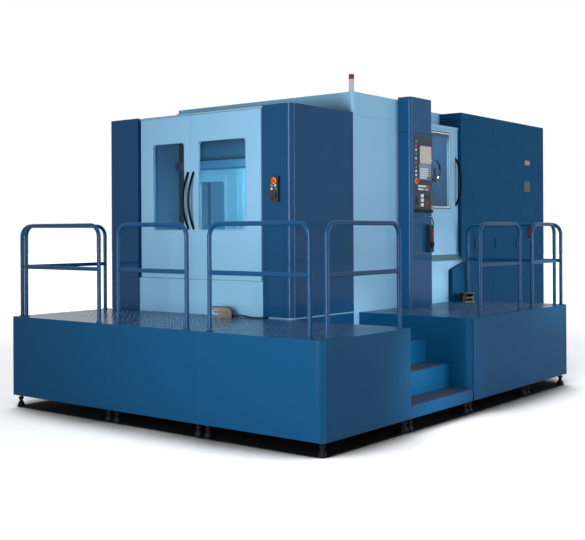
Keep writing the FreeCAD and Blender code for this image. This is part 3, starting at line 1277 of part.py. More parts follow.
def build_inside():
    save("machine_bed", machine_bed())
    save("setup_turntable", turntable(station_y))
    save("rotary_table", turntable(work_y))
    save("table_saddle", table_saddle())
    save("changer_quill", changer_quill())
    save("changer_arm", changer_arm())
    save("changer_partition", changer_partition())
    save("pallets", Part.makeCompound([pallet(station_y), pallet(work_y)]))
    save("column", column())
    save("spindle_head", spindle_head())
    save("spindle", spindle())
    save("tool_magazine", tool_magazine())
    save("chip_conveyor", chip_conveyor())


def build_cable():
    """A free cable: straight runs joined by arcs, each arc as large as its two runs allow."""
    points = cable_points()
    pieces = []
    at = points[0]
    for before, corner, after in zip(points, points[1:], points[2:]):
        one, two = (before - corner), (after - corner)
        run = min(one.Length, two.Length)
        one.normalize()
        two.normalize()
        half_turn = (math.pi - one.getAngle(two)) / 2
        radius = 0.45 * run / math.tan(half_turn)
        start, end = corner + one * 0.45 * run, corner + two * 0.45 * run
        centre_way = (one + two).normalize()
        middle = corner + centre_way * (radius / math.cos(half_turn) - radius)
        pieces += [(at, start), (start, middle, end)]
        at = end
        print("cable bend radius %.0f mm" % radius)
    pieces.append((at, points[-1]))
    tube = round_bar(pieces, cable_radius)
    length = sum(Part.makeLine(*p).Length if len(p) == 2 else Part.Arc(*p).toShape().Length for p in pieces)
    ratio = tube.Volume / (math.pi * cable_radius ** 2 * length)
    print("cable length %.0f mm, volume ratio %.4f" % (length, ratio))
    save("foot_cable", tube)


os.makedirs("parts", exist_ok=True)
build_platform()
build_enclosure()
build_loading_doors()
build_operator_door()
build_controls()
build_cabinet()
build_foot_switches()
build_cable()
build_inside()
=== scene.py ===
import math

import bmesh
import bpy
from mathutils import Matrix, Vector


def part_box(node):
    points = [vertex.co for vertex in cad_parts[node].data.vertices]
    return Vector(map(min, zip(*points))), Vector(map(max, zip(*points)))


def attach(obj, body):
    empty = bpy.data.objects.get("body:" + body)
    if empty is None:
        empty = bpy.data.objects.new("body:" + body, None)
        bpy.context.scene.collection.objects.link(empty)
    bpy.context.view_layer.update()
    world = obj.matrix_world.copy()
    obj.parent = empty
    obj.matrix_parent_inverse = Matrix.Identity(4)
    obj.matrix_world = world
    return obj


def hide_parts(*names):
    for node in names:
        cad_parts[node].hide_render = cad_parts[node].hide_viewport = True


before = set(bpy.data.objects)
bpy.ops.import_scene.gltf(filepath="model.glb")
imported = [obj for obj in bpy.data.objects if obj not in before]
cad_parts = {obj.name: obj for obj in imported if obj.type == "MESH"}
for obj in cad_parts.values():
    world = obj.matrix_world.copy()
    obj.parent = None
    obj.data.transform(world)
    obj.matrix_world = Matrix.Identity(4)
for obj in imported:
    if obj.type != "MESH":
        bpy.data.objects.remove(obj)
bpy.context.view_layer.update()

# ---- Camera ----
# The photographer stood off the corner where the steps are, at eye height, with a level camera
# and the lens shifted down, so uprights stay upright.
scene = bpy.context.scene
deck_low, deck_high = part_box("platform_corner")
near_corner = Vector((deck_high.x, deck_low.y, 0.0))
camera_data = bpy.data.cameras.new("photo_camera")
camera_data.lens = 60.74
camera_data.sensor_width = 36.0
camera_data.shift_y = -0.0656
camera_data.clip_end = 200.0


def in_scene(name, data):
    """A new object with this data, linked into the scene."""
    made = bpy.data.objects.new(name, data)
    scene.collection.objects.link(made)
    return made


camera = in_scene("photo_camera", camera_data)
scene.camera = camera
camera_heading = math.radians(38.12)
camera_roll = -0.00468
camera_stand = Vector((4.442, -6.034, 1.732))
level_view = Matrix.Rotation(camera_heading, 4, "Z") @ Matrix.Rotation(math.pi / 2, 4, "X")
camera.matrix_world = (Matrix.Translation(near_corner + camera_stand) @ level_view
                       @ Matrix.Rotation(camera_roll, 4, "Z"))

# ---- Studio floor, backdrop and light ----
# A pale floor that runs out to white, with a painted contact shadow, darkest where the skirts almost touch it. One
# large soft box stands high on the loading side, one on the operator side and a weak one overhead. Two narrow
# fills reach the apron and the steps, and three work lights burn inside.
scene.view_settings.view_transform = "Standard"
floor_half = 60
white_from, white_at = 4.5, 12.0


def fresh_material(name):
    material = bpy.data.materials.new(name)
    material.use_nodes = True
    return material, material.node_tree


def plug(node, values):
    """Feeds a node's sockets, by name or place, each with a constant or with another node's output."""
    for socket, value in values.items():
        if isinstance(value, bpy.types.NodeSocket):
            node.id_data.links.new(value, node.inputs[socket])
        else:
            node.inputs[socket].default_value = value


def wired(tree, kind, values, **options):
    """A new shader node with its options set and its sockets fed."""
    node = tree.nodes.new("ShaderNode" + kind)
    for option, setting in options.items():
        setattr(node, option, setting)
    plug(node, values)
    return node


def reckoned(tree, operation, first, second):
    return wired(tree, "Math", {0: first, 1: second}, operation=operation).outputs[0]


def seen_directly(tree):
    """1 for the camera, for mirror reflections and through glass; 0 for light that spreads."""
    path = wired(tree, "LightPath", {}).outputs
    either = reckoned(tree, "MAXIMUM", path["Is Camera Ray"], path["Is Glossy Ray"])
    return reckoned(tree, "MAXIMUM", either, path["Is Transmission Ray"])


def ranged(tree, value, from_low, from_high, low, high, kind="SMOOTHSTEP"):
    """Takes a value from one range to another, held at both ends."""
    return wired(tree, "MapRange", {
        "From Min": from_low, "From Max": from_high, "To Min": low, "To Max": high, "Value": value},
        interpolation_type=kind).outputs["Result"]


def mixed(tree, factor, first, second):
    """One colour turning into the other by factor; each is a colour or an output."""
    first, second = ((*c, 1.0) if isinstance(c, tuple) else c for c in (first, second))
    return wired(tree, "Mix", {"Factor": factor, "A": first, "B": second}, data_type="RGBA").outputs["Result"]


floor_mesh = bpy.data.meshes.new("studio_floor")
floor_mesh.from_pydata([(floor_half * x, floor_half * y, 0) for x, y in ((-1, -1), (1, -1), (1, 1), (-1, 1))],
                       [], [(0, 1, 2, 3)])
floor = in_scene("studio_floor", floor_mesh)
floor_white, tree = fresh_material("studio_floor_white")
overhang = wired(tree, "AmbientOcclusion", {"Distance": 2.0}, samples=24)
# Painted contact shadow: ambient occlusion darkens the floor's colour and its glow under and beside the skirts.
painted_contact_shadow = ranged(tree, overhang.outputs["AO"], 0.48, 0.74, 0.0, 1.0)
floor_place = wired(tree, "TexCoord", {})
far_off = wired(tree, "VectorMath", {0: floor_place.outputs["Object"]}, operation="LENGTH")
run_out = ranged(tree, far_off.outputs["Value"], white_from, white_at, 0.5, 1.0)
glow = reckoned(tree, "MULTIPLY", seen_directly(tree), painted_contact_shadow)
plug(tree.nodes["Principled BSDF"], {
    "Base Color": mixed(tree, painted_contact_shadow, (0.004, 0.004, 0.005), (0.86, 0.87, 0.88)),
    "Roughness": 0.9, "Specular IOR Level": 0.05, "Emission Color": (1.0, 1.0, 1.0, 1.0),
    "Emission Strength": reckoned(tree, "MULTIPLY", glow, run_out)})
floor_mesh.materials.append(floor_white)

world = bpy.data.worlds.new("studio_surround")
scene.world = world
world.use_nodes = True
tree = world.node_tree
surround = tree.nodes["Background"]
plug(surround, {"Color": (0.94, 0.97, 1.0, 1.0), "Strength": 0.3})
backdrop = wired(tree, "Background", {"Color": (1.0, 1.0, 1.0, 1.0)})
backdrop_mix = wired(tree, "MixShader", {
    0: seen_directly(tree), 1: surround.outputs[0], 2: backdrop.outputs[0]})
plug(tree.nodes["World Output"], {"Surface": backdrop_mix.outputs[0]})


def soft_box(name, place, target, size, power, grid=math.pi):
    light_data = bpy.data.lights.new(name, "AREA")
    light_data.shape = "RECTANGLE"
    light_data.size, light_data.size_y = size
    light_data.energy = power
    light_data.spread = grid
    light = in_scene(name, light_data)
    light.location = place
    light.rotation_euler = (Vector(target) - Vector(place)).to_track_quat("-Z", "Y").to_euler()


soft_box("soft_box_loading_side", (2.2, -9.4, 2.3), (1.3, -3.0, 1.7), (2.6, 4.2), 150.0, math.radians(85))
soft_box("soft_box_operator_side", (9.0, 2.2, 2.2), (0.6, 0.9, 1.8), (2.4, 4.2), 320.0)
soft_box("soft_box_overhead", (0.0, 0.0, 8.5), (0.0, 0.1, 0.0), (7.0, 8.0), 150.0)
soft_box("fill_operator_door", (5.2, 1.4, 1.6), (0.6, 0.62, 1.15), (0.5, 0.5), 2.9, math.radians(24))
soft_box("fill_steps", (8.0, -4.0, 1.1), (1.5, -1.6, 0.4), (0.5, 0.5), 4.7, math.radians(14))
soft_box("work_light_loading", (-0.1, -1.75, 2.8), (-0.2, -1.65, 0.0), (0.8, 0.3), 12.0)
soft_box("work_light_table", (-0.3, -0.5, 2.86), (-0.5, -0.45, 0.0), (1.4, 0.5), 15.0)
soft_box("work_light_column", (0.15, 0.62, 2.86), (-0.3, 1.1, 1.4), (0.5, 0.3), 10.0)

# ---- Platform modules ----
# Folded and welded sheet-steel boxes, powder coated in deep blue, each topped with a checker-plate deck.
# The lozenges of the plate are rolled into it, so they carry the same paint, brighter on top, partly from wear and
# partly as a painted highlight.
whole_body = "enclosure_and_platform"


def noise(tree, scale, detail=3.0, stretch=(1.0, 1.0, 1.0)):
    """Noise in the object's own metres; stretch draws it out along an axis, as brushing does."""
    where = wired(tree, "TexCoord", {}).outputs["Object"]
    reach = wired(tree, "Mapping", {"Scale": stretch, "Vector": where}).outputs["Vector"]
    return wired(tree, "TexNoise", {"Scale": scale, "Detail": detail, "Vector": reach}).outputs["Fac"]


def shade(colour, factor):
    return tuple(min(1.0, c * factor) for c in colour)


def relief(tree, height, strength, distance, under=None):
    """Small relief in the surface from a height value."""
    under = {"Normal": under} if under else {}
    return wired(tree, "Bump", {"Strength": strength, "Distance": distance, "Height": height, **under}
                 ).outputs["Normal"]


def facing_way(tree):
    return wired(tree, "NewGeometry", {}).outputs["Normal"]


def enamel(name, colour, roughness=0.42, specular=0.15, gloss=0.2, edge=0.002, rub_and_highlight=0.3, drift=0.04):
    """Sprayed and baked paint: a little uneven in tone and gloss, with orange peel, paler along its edges, partly
    as wear and partly as a painted highlight.
    """
    material, tree = fresh_material(name)
    tone = mixed(tree, noise(tree, 0.9), shade(colour, 1 - drift), shade(colour, 1 + drift))
    soft_edge = wired(tree, "Bevel", {"Radius": edge}, samples=4).outputs["Normal"]
    turn = wired(tree, "VectorMath", {0: soft_edge, 1: facing_way(tree)}, operation="DOT_PRODUCT")
    # Pale edge colour: partly wear, partly a painted highlight along every edge where light would catch it.
    rubbed_and_highlit = ranged(tree, turn.outputs["Value"], 0.985, 0.9, 0.0, rub_and_highlight, "LINEAR")
    uneven = noise(tree, 5.0, 4.0)
    plug(tree.nodes["Principled BSDF"], {
        "Base Color": mixed(tree, rubbed_and_highlit, tone, tuple(0.7 * c + 0.2 for c in colour)),
        "Roughness": ranged(tree, uneven, 0.3, 0.7, roughness - 0.04, roughness + 0.05),
        "Specular IOR Level": specular, "Coat Weight": gloss, "Coat Roughness": 0.12,
        "Normal": relief(tree, noise(tree, 160.0, 2.0), 0.02, 0.001, soft_edge)})
    return material


def finish(material, *names):
    """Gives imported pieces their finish, on every slot that they have."""
    for name in names:
        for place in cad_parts[name].material_slots:
            place.material = material


def polished_on_top(material, plain, worn):
    """Feet keep the deck's flat top shinier than the sides of the box: roughness, specular and coat."""
    tree = material.node_tree
    facing = wired(tree, "SeparateXYZ", {"Vector": facing_way(tree)}).outputs["Z"]
    for socket, low, high in zip(("Roughness", "Specular IOR Level", "Coat Weight"), plain, worn):
        plug(tree.nodes["Principled BSDF"], {socket: ranged(tree, facing, 0.9, 0.98, low, high)})


modules = ("platform_corner", "platform_middle", "platform_left", "platform_side")
platform_blue = enamel("platform_blue_enamel", (0.002, 0.053, 0.135), 0.55, 0.04, 0.08)
finish(platform_blue, *modules)
polished_on_top(platform_blue, (0.55, 0.04, 0.08), (0.22, 0.22, 0.15))
plate_blue = enamel("checker_plate_enamel", (0.006, 0.05, 0.14), 0.25, 0.3, 0.25, drift=0.1)
lozenge_length = 0.026
lozenge_width = 0.008
lozenge_height = 0.0016
crown_share = 0.55
lozenge_pitch = 0.036
plate_edge = 0.03


def piece_from(name, mesh_maker, material, body=whole_body):
    """A mesh piece: mesh_maker fills a bmesh, and the piece takes its slot and rides on body."""
    shape = bmesh.new()
    mesh_maker(shape)
    mesh = bpy.data.meshes.new(name)
    bmesh.ops.recalc_face_normals(shape, faces=shape.faces)
    shape.to_mesh(mesh)
    shape.free()
    mesh.materials.append(material)
    piece = in_scene(name, mesh)
    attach(piece, body)
    return piece


def skin(shape, rings, ends="capped"):
    """Quads from ring to ring; the ends are capped, open, or joined round to the first ring."""
    count = len(rings[0])
    for first, second in zip(rings, rings[1:] + (rings[:1] if ends == "joined" else [])):
        for k in range(count):
            shape.faces.new((first[k], first[(k + 1) % count], second[(k + 1) % count], second[k]))
    if ends == "capped":
        shape.faces.new(list(reversed(rings[0])))
        shape.faces.new(rings[-1])


def checker_plate(shape, low, high):
    """Rolled lozenges over a deck from low to high, every other one turned by a quarter."""
    columns, rows = (int((end - start - 2 * plate_edge) / lozenge_pitch)
                     for start, end in ((low.x, high.x), (low.y, high.y)))
    for i in range(columns):
        for j in range(rows):
            x = low.x + plate_edge + (i + 0.5) * lozenge_pitch
            y = low.y + plate_edge + (j + 0.5) * lozenge_pitch
            along, across = lozenge_length / 2, lozenge_width / 2
            if (i + j) % 2 == 0:
                along, across = across, along
            corners = ((-along, 0), (0, -across), (along, 0), (0, across))
            rim, crown = ([shape.verts.new((x + dx * share, y + dy * share, high.z + rise)) for dx, dy in corners]
                          for share, rise in ((1.0, 0.0), (crown_share, lozenge_height)))
            shape.faces.new(crown)
            skin(shape, [rim, crown], "open")


for node in modules:
    low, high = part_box(node)
    piece_from("checker_plate_" + node, lambda shape: checker_plate(shape, low, high), plate_blue)

# ---- Steps ----
# Two treads and a landing folded from sheet, each tread covered by a ribbed rubber mat,
# bonded to the steel.
steps_low, steps_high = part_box("platform_steps")
finish(platform_blue, "platform_steps")
tread_rise = 0.225
tread_run = 0.256
mat_gap = 0.006
mat_margin = 0.025
mat_thickness = 0.004
rib_pitch = 0.016
rib_width = 0.006
rib_height = 0.002
rib_inset = 0.012


def moulded(name, colour, roughness=0.5, grain=0.1, specular=0.35):
    """Moulded plastic or rubber with a fine grain and a slightly uneven sheen."""
    material, tree = fresh_material(name)
    tone = mixed(tree, noise(tree, 7.0), shade(colour, 0.92), shade(colour, 1.08))
    sheen = noise(tree, 40.0, 5.0)
    plug(tree.nodes["Principled BSDF"], {
        "Base Color": tone, "Specular IOR Level": specular,
        "Roughness": ranged(tree, sheen, 0.3, 0.7, roughness - 0.06, roughness + 0.08),
        "Normal": relief(tree, noise(tree, 300.0), grain, 0.0006)})
    return material


tread_rubber = moulded("tread_rubber", (0.018, 0.03, 0.062), 0.6, 0.25, specular=0.2)


def add_block(shape, low, high, edge=0.0):
    """A block from low to high inside a bmesh, its edges rounded off by edge."""
    low, high = Vector(low), Vector(high)
    made = bmesh.ops.create_cube(shape, size=1.0)
    size = high - low
    centre = (low + high) / 2
    for vertex in made["verts"]:
        vertex.co = Vector((vertex.co.x * size.x, vertex.co.y * size.y, vertex.co.z * size.z)) + centre
    if edge:
        edges = list({e for v in made["verts"] for e in v.link_edges})
        bmesh.ops.bevel(shape, geom=edges, offset=edge, segments=2, profile=0.7, affect="EDGES")


def ribbed_mat(shape, x0, x1, top):
    y0, y1 = steps_low.y + mat_margin, steps_high.y - mat_margin
    mat_top = top + mat_thickness
    add_block(shape, (x0, y0, top), (x1, y1, mat_top), 0.0015)
    for k in range(int((x1 - x0 - 0.03) / rib_pitch)):
        x = x0 + rib_inset + k * rib_pitch
        add_block(shape, (x, y0 + 0.01, mat_top - 0.001), (x + rib_width, y1 - 0.01, mat_top + rib_height))


for k in range(2):
    x1 = steps_high.x - k * tread_run - mat_gap
    top = (k + 1) * tread_rise
    piece_from("tread_mat_%d" % (k + 1), lambda shape: ribbed_mat(shape, x1 - tread_run + 2 * mat_gap, x1, top),
               tread_rubber)
landing_corner = Vector((steps_high.x - 2 * tread_run, steps_high.y, 3 * tread_rise))
piece_from("landing_plate", lambda shape: checker_plate(shape, steps_low, landing_corner), plate_blue)

# ---- Levelling feet ----
# Blackened screws through the module corners, each on a round black pad and in a rubber boot. A bright
# zinc-plated washer and a small folded bracket in the platform's blue close the corner above it.


def worked_steel(name, colour, roughness, stretch=(1.0, 1.0, 1.0), scale=60.0, scratch=0.12):
    """Bare or plated steel, brushed or ground along the axis that stretch leaves short."""
    material, tree = fresh_material(name)
    grain = noise(tree, scale, 6.0, stretch)
    plug(tree.nodes["Principled BSDF"], {
        "Metallic": 1.0, "Base Color": mixed(tree, grain, shade(colour, 0.82), shade(colour, 1.15)),
        "Roughness": ranged(tree, grain, 0.3, 0.7, roughness - 0.08, roughness + 0.12),
        "Normal": relief(tree, grain, scratch, 0.0004)})
    return material


foot_black = moulded("foot_black", (0.004, 0.005, 0.008), 0.55, specular=0.1)
zinc = worked_steel("bright_zinc", (0.5, 0.53, 0.56), 0.35, scale=90.0)
finish(foot_black, "levelling_feet")
washer_radius = 0.018
washer_sheet = 0.0118
bracket_half = 0.03
skirt_foot = 0.117


def add_turned(shape, centre, axis, profile, sides=24):
    """A turned form: profile lists (radius, height) pairs along axis from centre."""
    axis = Vector(axis).normalized()
    across = axis.orthogonal().normalized()
    other = axis.cross(across)
    way = [across * math.cos(2 * math.pi * k / sides) + other * math.sin(2 * math.pi * k / sides)
           for k in range(sides)]
    skin(shape, [[shape.verts.new(Vector(centre) + axis * height + radius * out) for out in way]
                 for radius, height in profile])


def gathered(points, reach):
    """Points sorted into groups, each point within reach of the first of its group."""
    groups = []
    for point in points:
        near = [group for group in groups if (group[0] - point).length < reach]
        if near:
            near[0].append(point)
        else:
            groups.append([point])
    return groups


def foot_places():
    """The middles of the pads, from the lowest points of the feet."""
    corners = [v.co.copy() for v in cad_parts["levelling_feet"].data.vertices if v.co.z < 0.001]
    return [Vector([(min(p[k] for p in group) + max(p[k] for p in group)) / 2 for k in (0, 1)] + [0.0])
            for group in gathered(corners, 0.1)]


def foot_washers(shape):
    for place in foot_places():
        add_turned(shape, place + Vector((0, 0, skirt_foot - washer_sheet)), (0, 0, 1), [
            (washer_radius, 0.0), (washer_radius, washer_sheet - 0.008)], 6)


def foot_boots(shape):
    """A rubber boot over each screw, widest on the pad, with a collar under the washer."""
    for place in foot_places():
        add_turned(shape, place, (0, 0, 1), [
            (0.0335, 0.001), (0.035, 0.006), (0.035, 0.018), (0.031, 0.032), (0.024, 0.044), (0.0165, 0.052),
            (0.0165, 0.07), (0.025, 0.076), (0.025, 0.092), (0.02, 0.097)], 28)


def foot_brackets(shape):
    """The folded blue bracket that closes each module's corner round the screw."""
    for place in foot_places():
        foot = place + Vector((0, 0, skirt_foot))
        add_block(shape, foot + Vector((-bracket_half, -bracket_half, -0.008)),
                  foot + Vector((bracket_half, bracket_half, -0.0035)), 0.0015)
        for turn in (0, math.pi):
            out = Vector((0.022 * math.cos(turn), 0.022 * math.sin(turn), -0.008))
            add_turned(shape, foot + out, (0, 0, -1), [(0.005, -0.0005), (0.005, 0.003), (0.004, 0.004)], 6)


piece_from("foot_washers", foot_washers, zinc)
piece_from("foot_boots", foot_boots, foot_black)
piece_from("foot_brackets", foot_brackets, platform_blue)

# ---- Handrails ----
# Steel pipe of 38 mm, bent and welded, in the platform's blue. Each post stands on a small round plate
# that two screws hold to the deck.
rail_blue = enamel("rail_blue_enamel", (0.001, 0.045, 0.125), 0.4, 0.04, 0.25, rub_and_highlight=0.0)
rail_nodes = ("rails_front", "rails_side", "rails_end")
finish(rail_blue, *rail_nodes)
post_plate = 0.032
post_plate_thickness = 0.005
post_screw_circle = 0.0265
post_screw_turn = 0.6


def posts_of(node):
    """The places where a node's posts meet the deck, read from the lowest points of its mesh."""
    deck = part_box(node)[0].z
    feet = [Vector((v.co.x, v.co.y, deck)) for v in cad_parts[node].data.vertices if v.co.z < deck + 0.002]
    return [sum(group, Vector()) / len(group) for group in gathered(feet, 0.06)]


def add_screw(shape, centre, axis, radius=0.005):
    """A button-head screw standing on a surface."""
    add_turned(shape, centre, axis, [(radius, 0.0), (radius, 0.4 * radius), (0.8 * radius, 0.7 * radius),
                                     (0.45 * radius, 0.8 * radius), (0.4 * radius, 0.45 * radius)], 12)


def post_plates(shape, node):
    top = post_plate_thickness
    for place in posts_of(node):
        add_turned(shape, place, (0, 0, 1), [
            (post_plate, 0.0), (post_plate, top - 0.002), (post_plate - 0.002, top), (0.022, top + 0.001),
            (0.019, 0.01)], 32)
        for turn in (post_screw_turn, post_screw_turn + math.pi):
            out = Vector((math.cos(turn), math.sin(turn), 0)) * post_screw_circle
            add_screw(shape, place + out + Vector((0, 0, top - 0.0005)), (0, 0, 1), 0.004)


for node in rail_nodes:
    piece_from("post_plates_" + node, lambda shape: post_plates(shape, node), rail_blue)

# ---- Front panels ----
# Folded sheet: the dark left pillar, the light panel under the doors and the dark corner folded round a
# large radius. A pale strip runs along the deck at the corner's foot, fixed with small screws.
light_enamel = enamel("light_blue_enamel", (0.215, 0.44, 0.64), 0.45, 0.15, 0.15, edge=0.003)
dark_enamel = enamel("dark_blue_enamel", (0.003, 0.05, 0.132), 0.55, 0.05, 0.2, edge=0.003)
finish(dark_enamel, "left_pillar", "corner_cover")
finish(light_enamel, "lower_panel")
corner_low, corner_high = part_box("corner_cover")
strip_height = 0.013
strip_sheet = 0.003
corner_radius = 0.06
cable_entry_x = 0.325
strip_paint = enamel("strip_enamel", (0.16, 0.3, 0.45), 0.35, edge=0.001)


def kick_strip(shape):
    """The strip on both faces of the corner, joined round its radius, stopping short of the cable's hole."""
    deck = deck_high.z
    front, side = corner_low.y - strip_sheet, corner_high.x + strip_sheet
    foot, top = deck + 0.001, deck + strip_height
    add_block(shape, (cable_entry_x + 0.02, front, foot), (corner_high.x - corner_radius, corner_low.y, top))
    add_block(shape, (corner_high.x, corner_low.y + corner_radius, foot), (side, corner_high.y, top))
    centre = Vector((corner_high.x - corner_radius, corner_low.y + corner_radius, 0))
    rings = []
    for k in range(9):
        turn = math.pi / 2 * k / 8
        way = Vector((math.sin(turn), -math.cos(turn), 0))
        rings.append([shape.verts.new(centre + way * (corner_radius + reach) + Vector((0, 0, height)))
                      for reach, height in ((0, foot), (strip_sheet, foot), (strip_sheet, top), (0, top))])
    skin(shape, rings, "open")
    for y in (corner_low.y + 0.3, corner_low.y + 0.7):
        add_screw(shape, Vector((side, y, deck + strip_height / 2)), (1, 0, 0), 0.004)


piece_from("corner_kick_strip", kick_strip, strip_paint)

# ---- Main enclosure, roofs and walls ----
# Light blue sheet trays, folded and bolted edge to edge with plated button-head screws. Blades pressed
# in two rows let air out of the rear wall, and four forged lifting eyes stand well inside the roof's edges.
roof_enamel = enamel("roof_enamel", (0.2, 0.38, 0.54), 0.5, edge=0.003)
# The light blue enamel again, with painted shade low on the wall behind the front roof.
cover_enamel_painted_shade = enamel("cover_light_blue_painted_shade", (0.215, 0.44, 0.64), 0.45, 0.15, 0.15, edge=0.003)


def painted_shade_over_roof(material):
    """Painted shade: the wall that rises behind the front roof is darkened down in the joint by ambient occlusion,
    on faces turned to the front.
    """
    tree = material.node_tree
    shader = tree.nodes["Principled BSDF"]
    joint = wired(tree, "AmbientOcclusion", {"Distance": 0.45}).outputs["AO"]
    facing = wired(tree, "SeparateXYZ", {"Vector": facing_way(tree)}).outputs["Y"]
    lit = reckoned(tree, "MAXIMUM", ranged(tree, joint, 0.45, 1.0, 0.08, 1.0),
                   ranged(tree, facing, -0.8, -0.4, 0.0, 1.0))
    bright = shader.inputs["Base Color"].links[0].from_socket
    plug(shader, {"Base Color": mixed(tree, lit, (0.0, 0.0, 0.0), bright)})


painted_shade_over_roof(cover_enamel_painted_shade)
finish(cover_enamel_painted_shade, "main_cover")
finish(roof_enamel, "roof_panels")
finish(light_enamel, "left_wall", "rear_wall")
roof_low, roof_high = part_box("roof_panels")
left_low, left_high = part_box("left_wall")
rear_low, rear_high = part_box("rear_wall")
cover_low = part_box("main_cover")[0]
outlet_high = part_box("chip_conveyor")[1]
wall_foot, wall_seam, wall_lintel, wall_top = 0.15, 1.2, 2.86, 3.13
wall_edge = 0.03
rear_seam_x, rear_seam_z = -0.5, 1.85
tray_stands = 0.012
tray_gap = 0.014
screw_inset = 0.035
shoulder_y = 0.07
roof_seam_x = -0.75
roof_side_front, roof_side_rear = 0.5, 0.3
blade_pitch, blade_width, blade_stands = 0.04, 0.024, 0.011
blade_rows = (2.35, 0.45)
blade_columns = ((-1.1, -0.6), (-0.4, 0.1))
eye_radius = 0.027
eye_height = 0.049
fixings = []


def bolted_tray(shape, low, high, axis, side):
    """One tray on a wall or roof facing axis (0, 1, 2) and side (1 or -1), with six screws to come."""
    low, high = Vector(low), Vector(high)
    first, second = [k for k in range(3) if k != axis]
    low[axis], high[axis] = sorted((low[axis] - 0.001 * side, low[axis] + tray_stands * side))
    for k in (first, second):
        low[k] += tray_gap / 2
        high[k] -= tray_gap / 2
    add_block(shape, low, high, 0.004)
    out = Vector([side if k == axis else 0 for k in range(3)])
    face = high[axis] if side > 0 else low[axis]
    middle = (low[second] + high[second]) / 2
    for u in (low[first] + screw_inset, high[first] - screw_inset):
        for v in (low[second] + screw_inset, middle, high[second] - screw_inset):
            place = Vector((0, 0, 0))
            place[axis], place[first], place[second] = face, u, v
            fixings.append((place, out))


def wall_trays(shape):
    """Three rows on the left wall, and the rear wall's columns with the conveyor's corner left free."""
    start, end = left_low.y + wall_edge, left_high.y - wall_edge
    for z0, z1, near in ((wall_foot, wall_seam, start), (wall_seam, wall_lintel, start),
                         (wall_lintel, wall_top, cover_low.y + wall_edge)):
        count = round(end - near)
        for k in range(count):
            y0, y1 = (near + (end - near) * part / count for part in (k, k + 1))
            bolted_tray(shape, (left_low.x, y0, z0), (left_low.x, y1, z1), 0, -1)
    free, over_outlet = outlet_high.x + 0.05, outlet_high.z + 0.07
    for x0, x1, z0 in ((rear_low.x + 0.02, free, over_outlet), (free, rear_seam_x, wall_foot),
                       (rear_seam_x, rear_high.x - 0.01, wall_foot)):
        for low, high in ((z0, rear_seam_z), (rear_seam_z, wall_top)) if z0 == wall_foot else ((z0, wall_top),):
            bolted_tray(shape, (x0, rear_high.y, low), (x1, rear_high.y, high), 1, 1)
    face = rear_high.y + tray_stands
    for z0 in blade_rows:
        for x0, x1 in blade_columns:
            for foot in (z0 + blade_pitch * k for k in range(12)):
                add_block(shape, (x0, face - 0.001, foot), (x1, face + blade_stands, foot + blade_width), 0.006)


def roof_trays(shape):
    """Two columns of trays; past the shoulder over the operator door the roof is narrower."""
    front, rear = cover_low.y + 0.15, roof_high.y - wall_edge
    thirds = [shoulder_y + (rear - shoulder_y) * k / 3 for k in range(4)]
    rows = [(front, shoulder_y, roof_side_front)]
    rows += [(y0, y1, roof_side_rear) for y0, y1 in zip(thirds, thirds[1:])]
    for y0, y1, side_edge in rows:
        for x0, x1 in ((roof_low.x + wall_edge, roof_seam_x), (roof_seam_x, side_edge)):
            bolted_tray(shape, (x0, y0, roof_high.z), (x1, y1, roof_high.z), 2, 1)


def tray_screws(shape):
    for place, out in fixings:
        add_screw(shape, place, out, 0.008)


def lifting_eyes(shape):
    """A forged ring on a round foot, four of them, well inside the roof's edges."""
    for x in (roof_low.x + 0.5, -0.1):
        for y in (cover_low.y + 0.6, roof_high.y - 0.5):
            foot = Vector((x, y, roof_high.z + tray_stands))
            add_turned(shape, foot, (0, 0, 1), [
                (0.03, 0), (0.03, 0.008), (0.026, 0.012), (0.014, 0.016), (0.012, 0.024)], 24)
            bends = [foot + Vector((eye_radius * math.cos(turn), 0, eye_height + eye_radius * math.sin(turn)))
                     for turn in (2 * math.pi * k / 24 for k in range(25))]
            for start, end in zip(bends, bends[1:]):
                add_turned(shape, start, end - start, [(0.008, -0.0005), (0.008, 0.0075)], 12)


piece_from("wall_trays", wall_trays, light_enamel)
piece_from("roof_trays", roof_trays, roof_enamel)
piece_from("tray_screws", tray_screws, zinc)
piece_from("lifting_eyes", lifting_eyes, zinc)

# ---- Loading doors ----
# Two hinged leaves of folded sheet. Each window is a laminated pane held by a blue section pressed round
# its opening, and a lip in the same blue closes the gap where the leaves meet.
rubber = moulded("black_rubber", (0.012, 0.013, 0.016), 0.55, 0.2)
finish(light_enamel, "door_left", "door_right")


def window_glass(name, tint):
    """Laminated safety glass: clear with a tint, faintly wavy, and a little dirty in its sheen."""
    material, tree = fresh_material(name)
    plug(tree.nodes["Principled BSDF"], {
        "Base Color": (*tint, 1.0), "Transmission Weight": 1.0, "IOR": 1.2, "Specular IOR Level": 0.2,
        "Roughness": ranged(tree, noise(tree, 6.0, 4.0), 0.3, 0.7, 0.01, 0.05),
        "Normal": relief(tree, noise(tree, 3.0, 2.0), 0.015, 0.002)})
    return material


finish(window_glass("loading_window_glass", (0.42, 0.8, 0.97)), "glass_left", "glass_right")


def loop_points(low, high, radius, steps=8):
    """A rounded rectangle in two dimensions, as points in order."""
    points = []
    for cx, cy, start in ((high[0] - radius, high[1] - radius, 0.0), (low[0] + radius, high[1] - radius, 0.5),
                          (low[0] + radius, low[1] + radius, 1.0), (high[0] - radius, low[1] + radius, 1.5)):
        for k in range(steps + 1):
            turn = math.pi * (start + 0.5 * k / steps)
            points.append((cx + radius * math.cos(turn), cy + radius * math.sin(turn)))
    return points


def add_loop(shape, points, place, section):
    """Sweeps a section of (outward, height) pairs round points; place maps (u, v, height) to the row frame."""
    rings = []
    for k, (u, v) in enumerate(points):
        before, after = points[k - 1], points[(k + 1) % len(points)]
        along = Vector((after[0] - before[0], after[1] - before[1])).normalized()
        out = Vector((along.y, -along.x))
        rings.append([shape.verts.new(place(u + out.x * reach, v + out.y * reach, height))
                      for reach, height in section])
    skin(shape, rings, "joined")


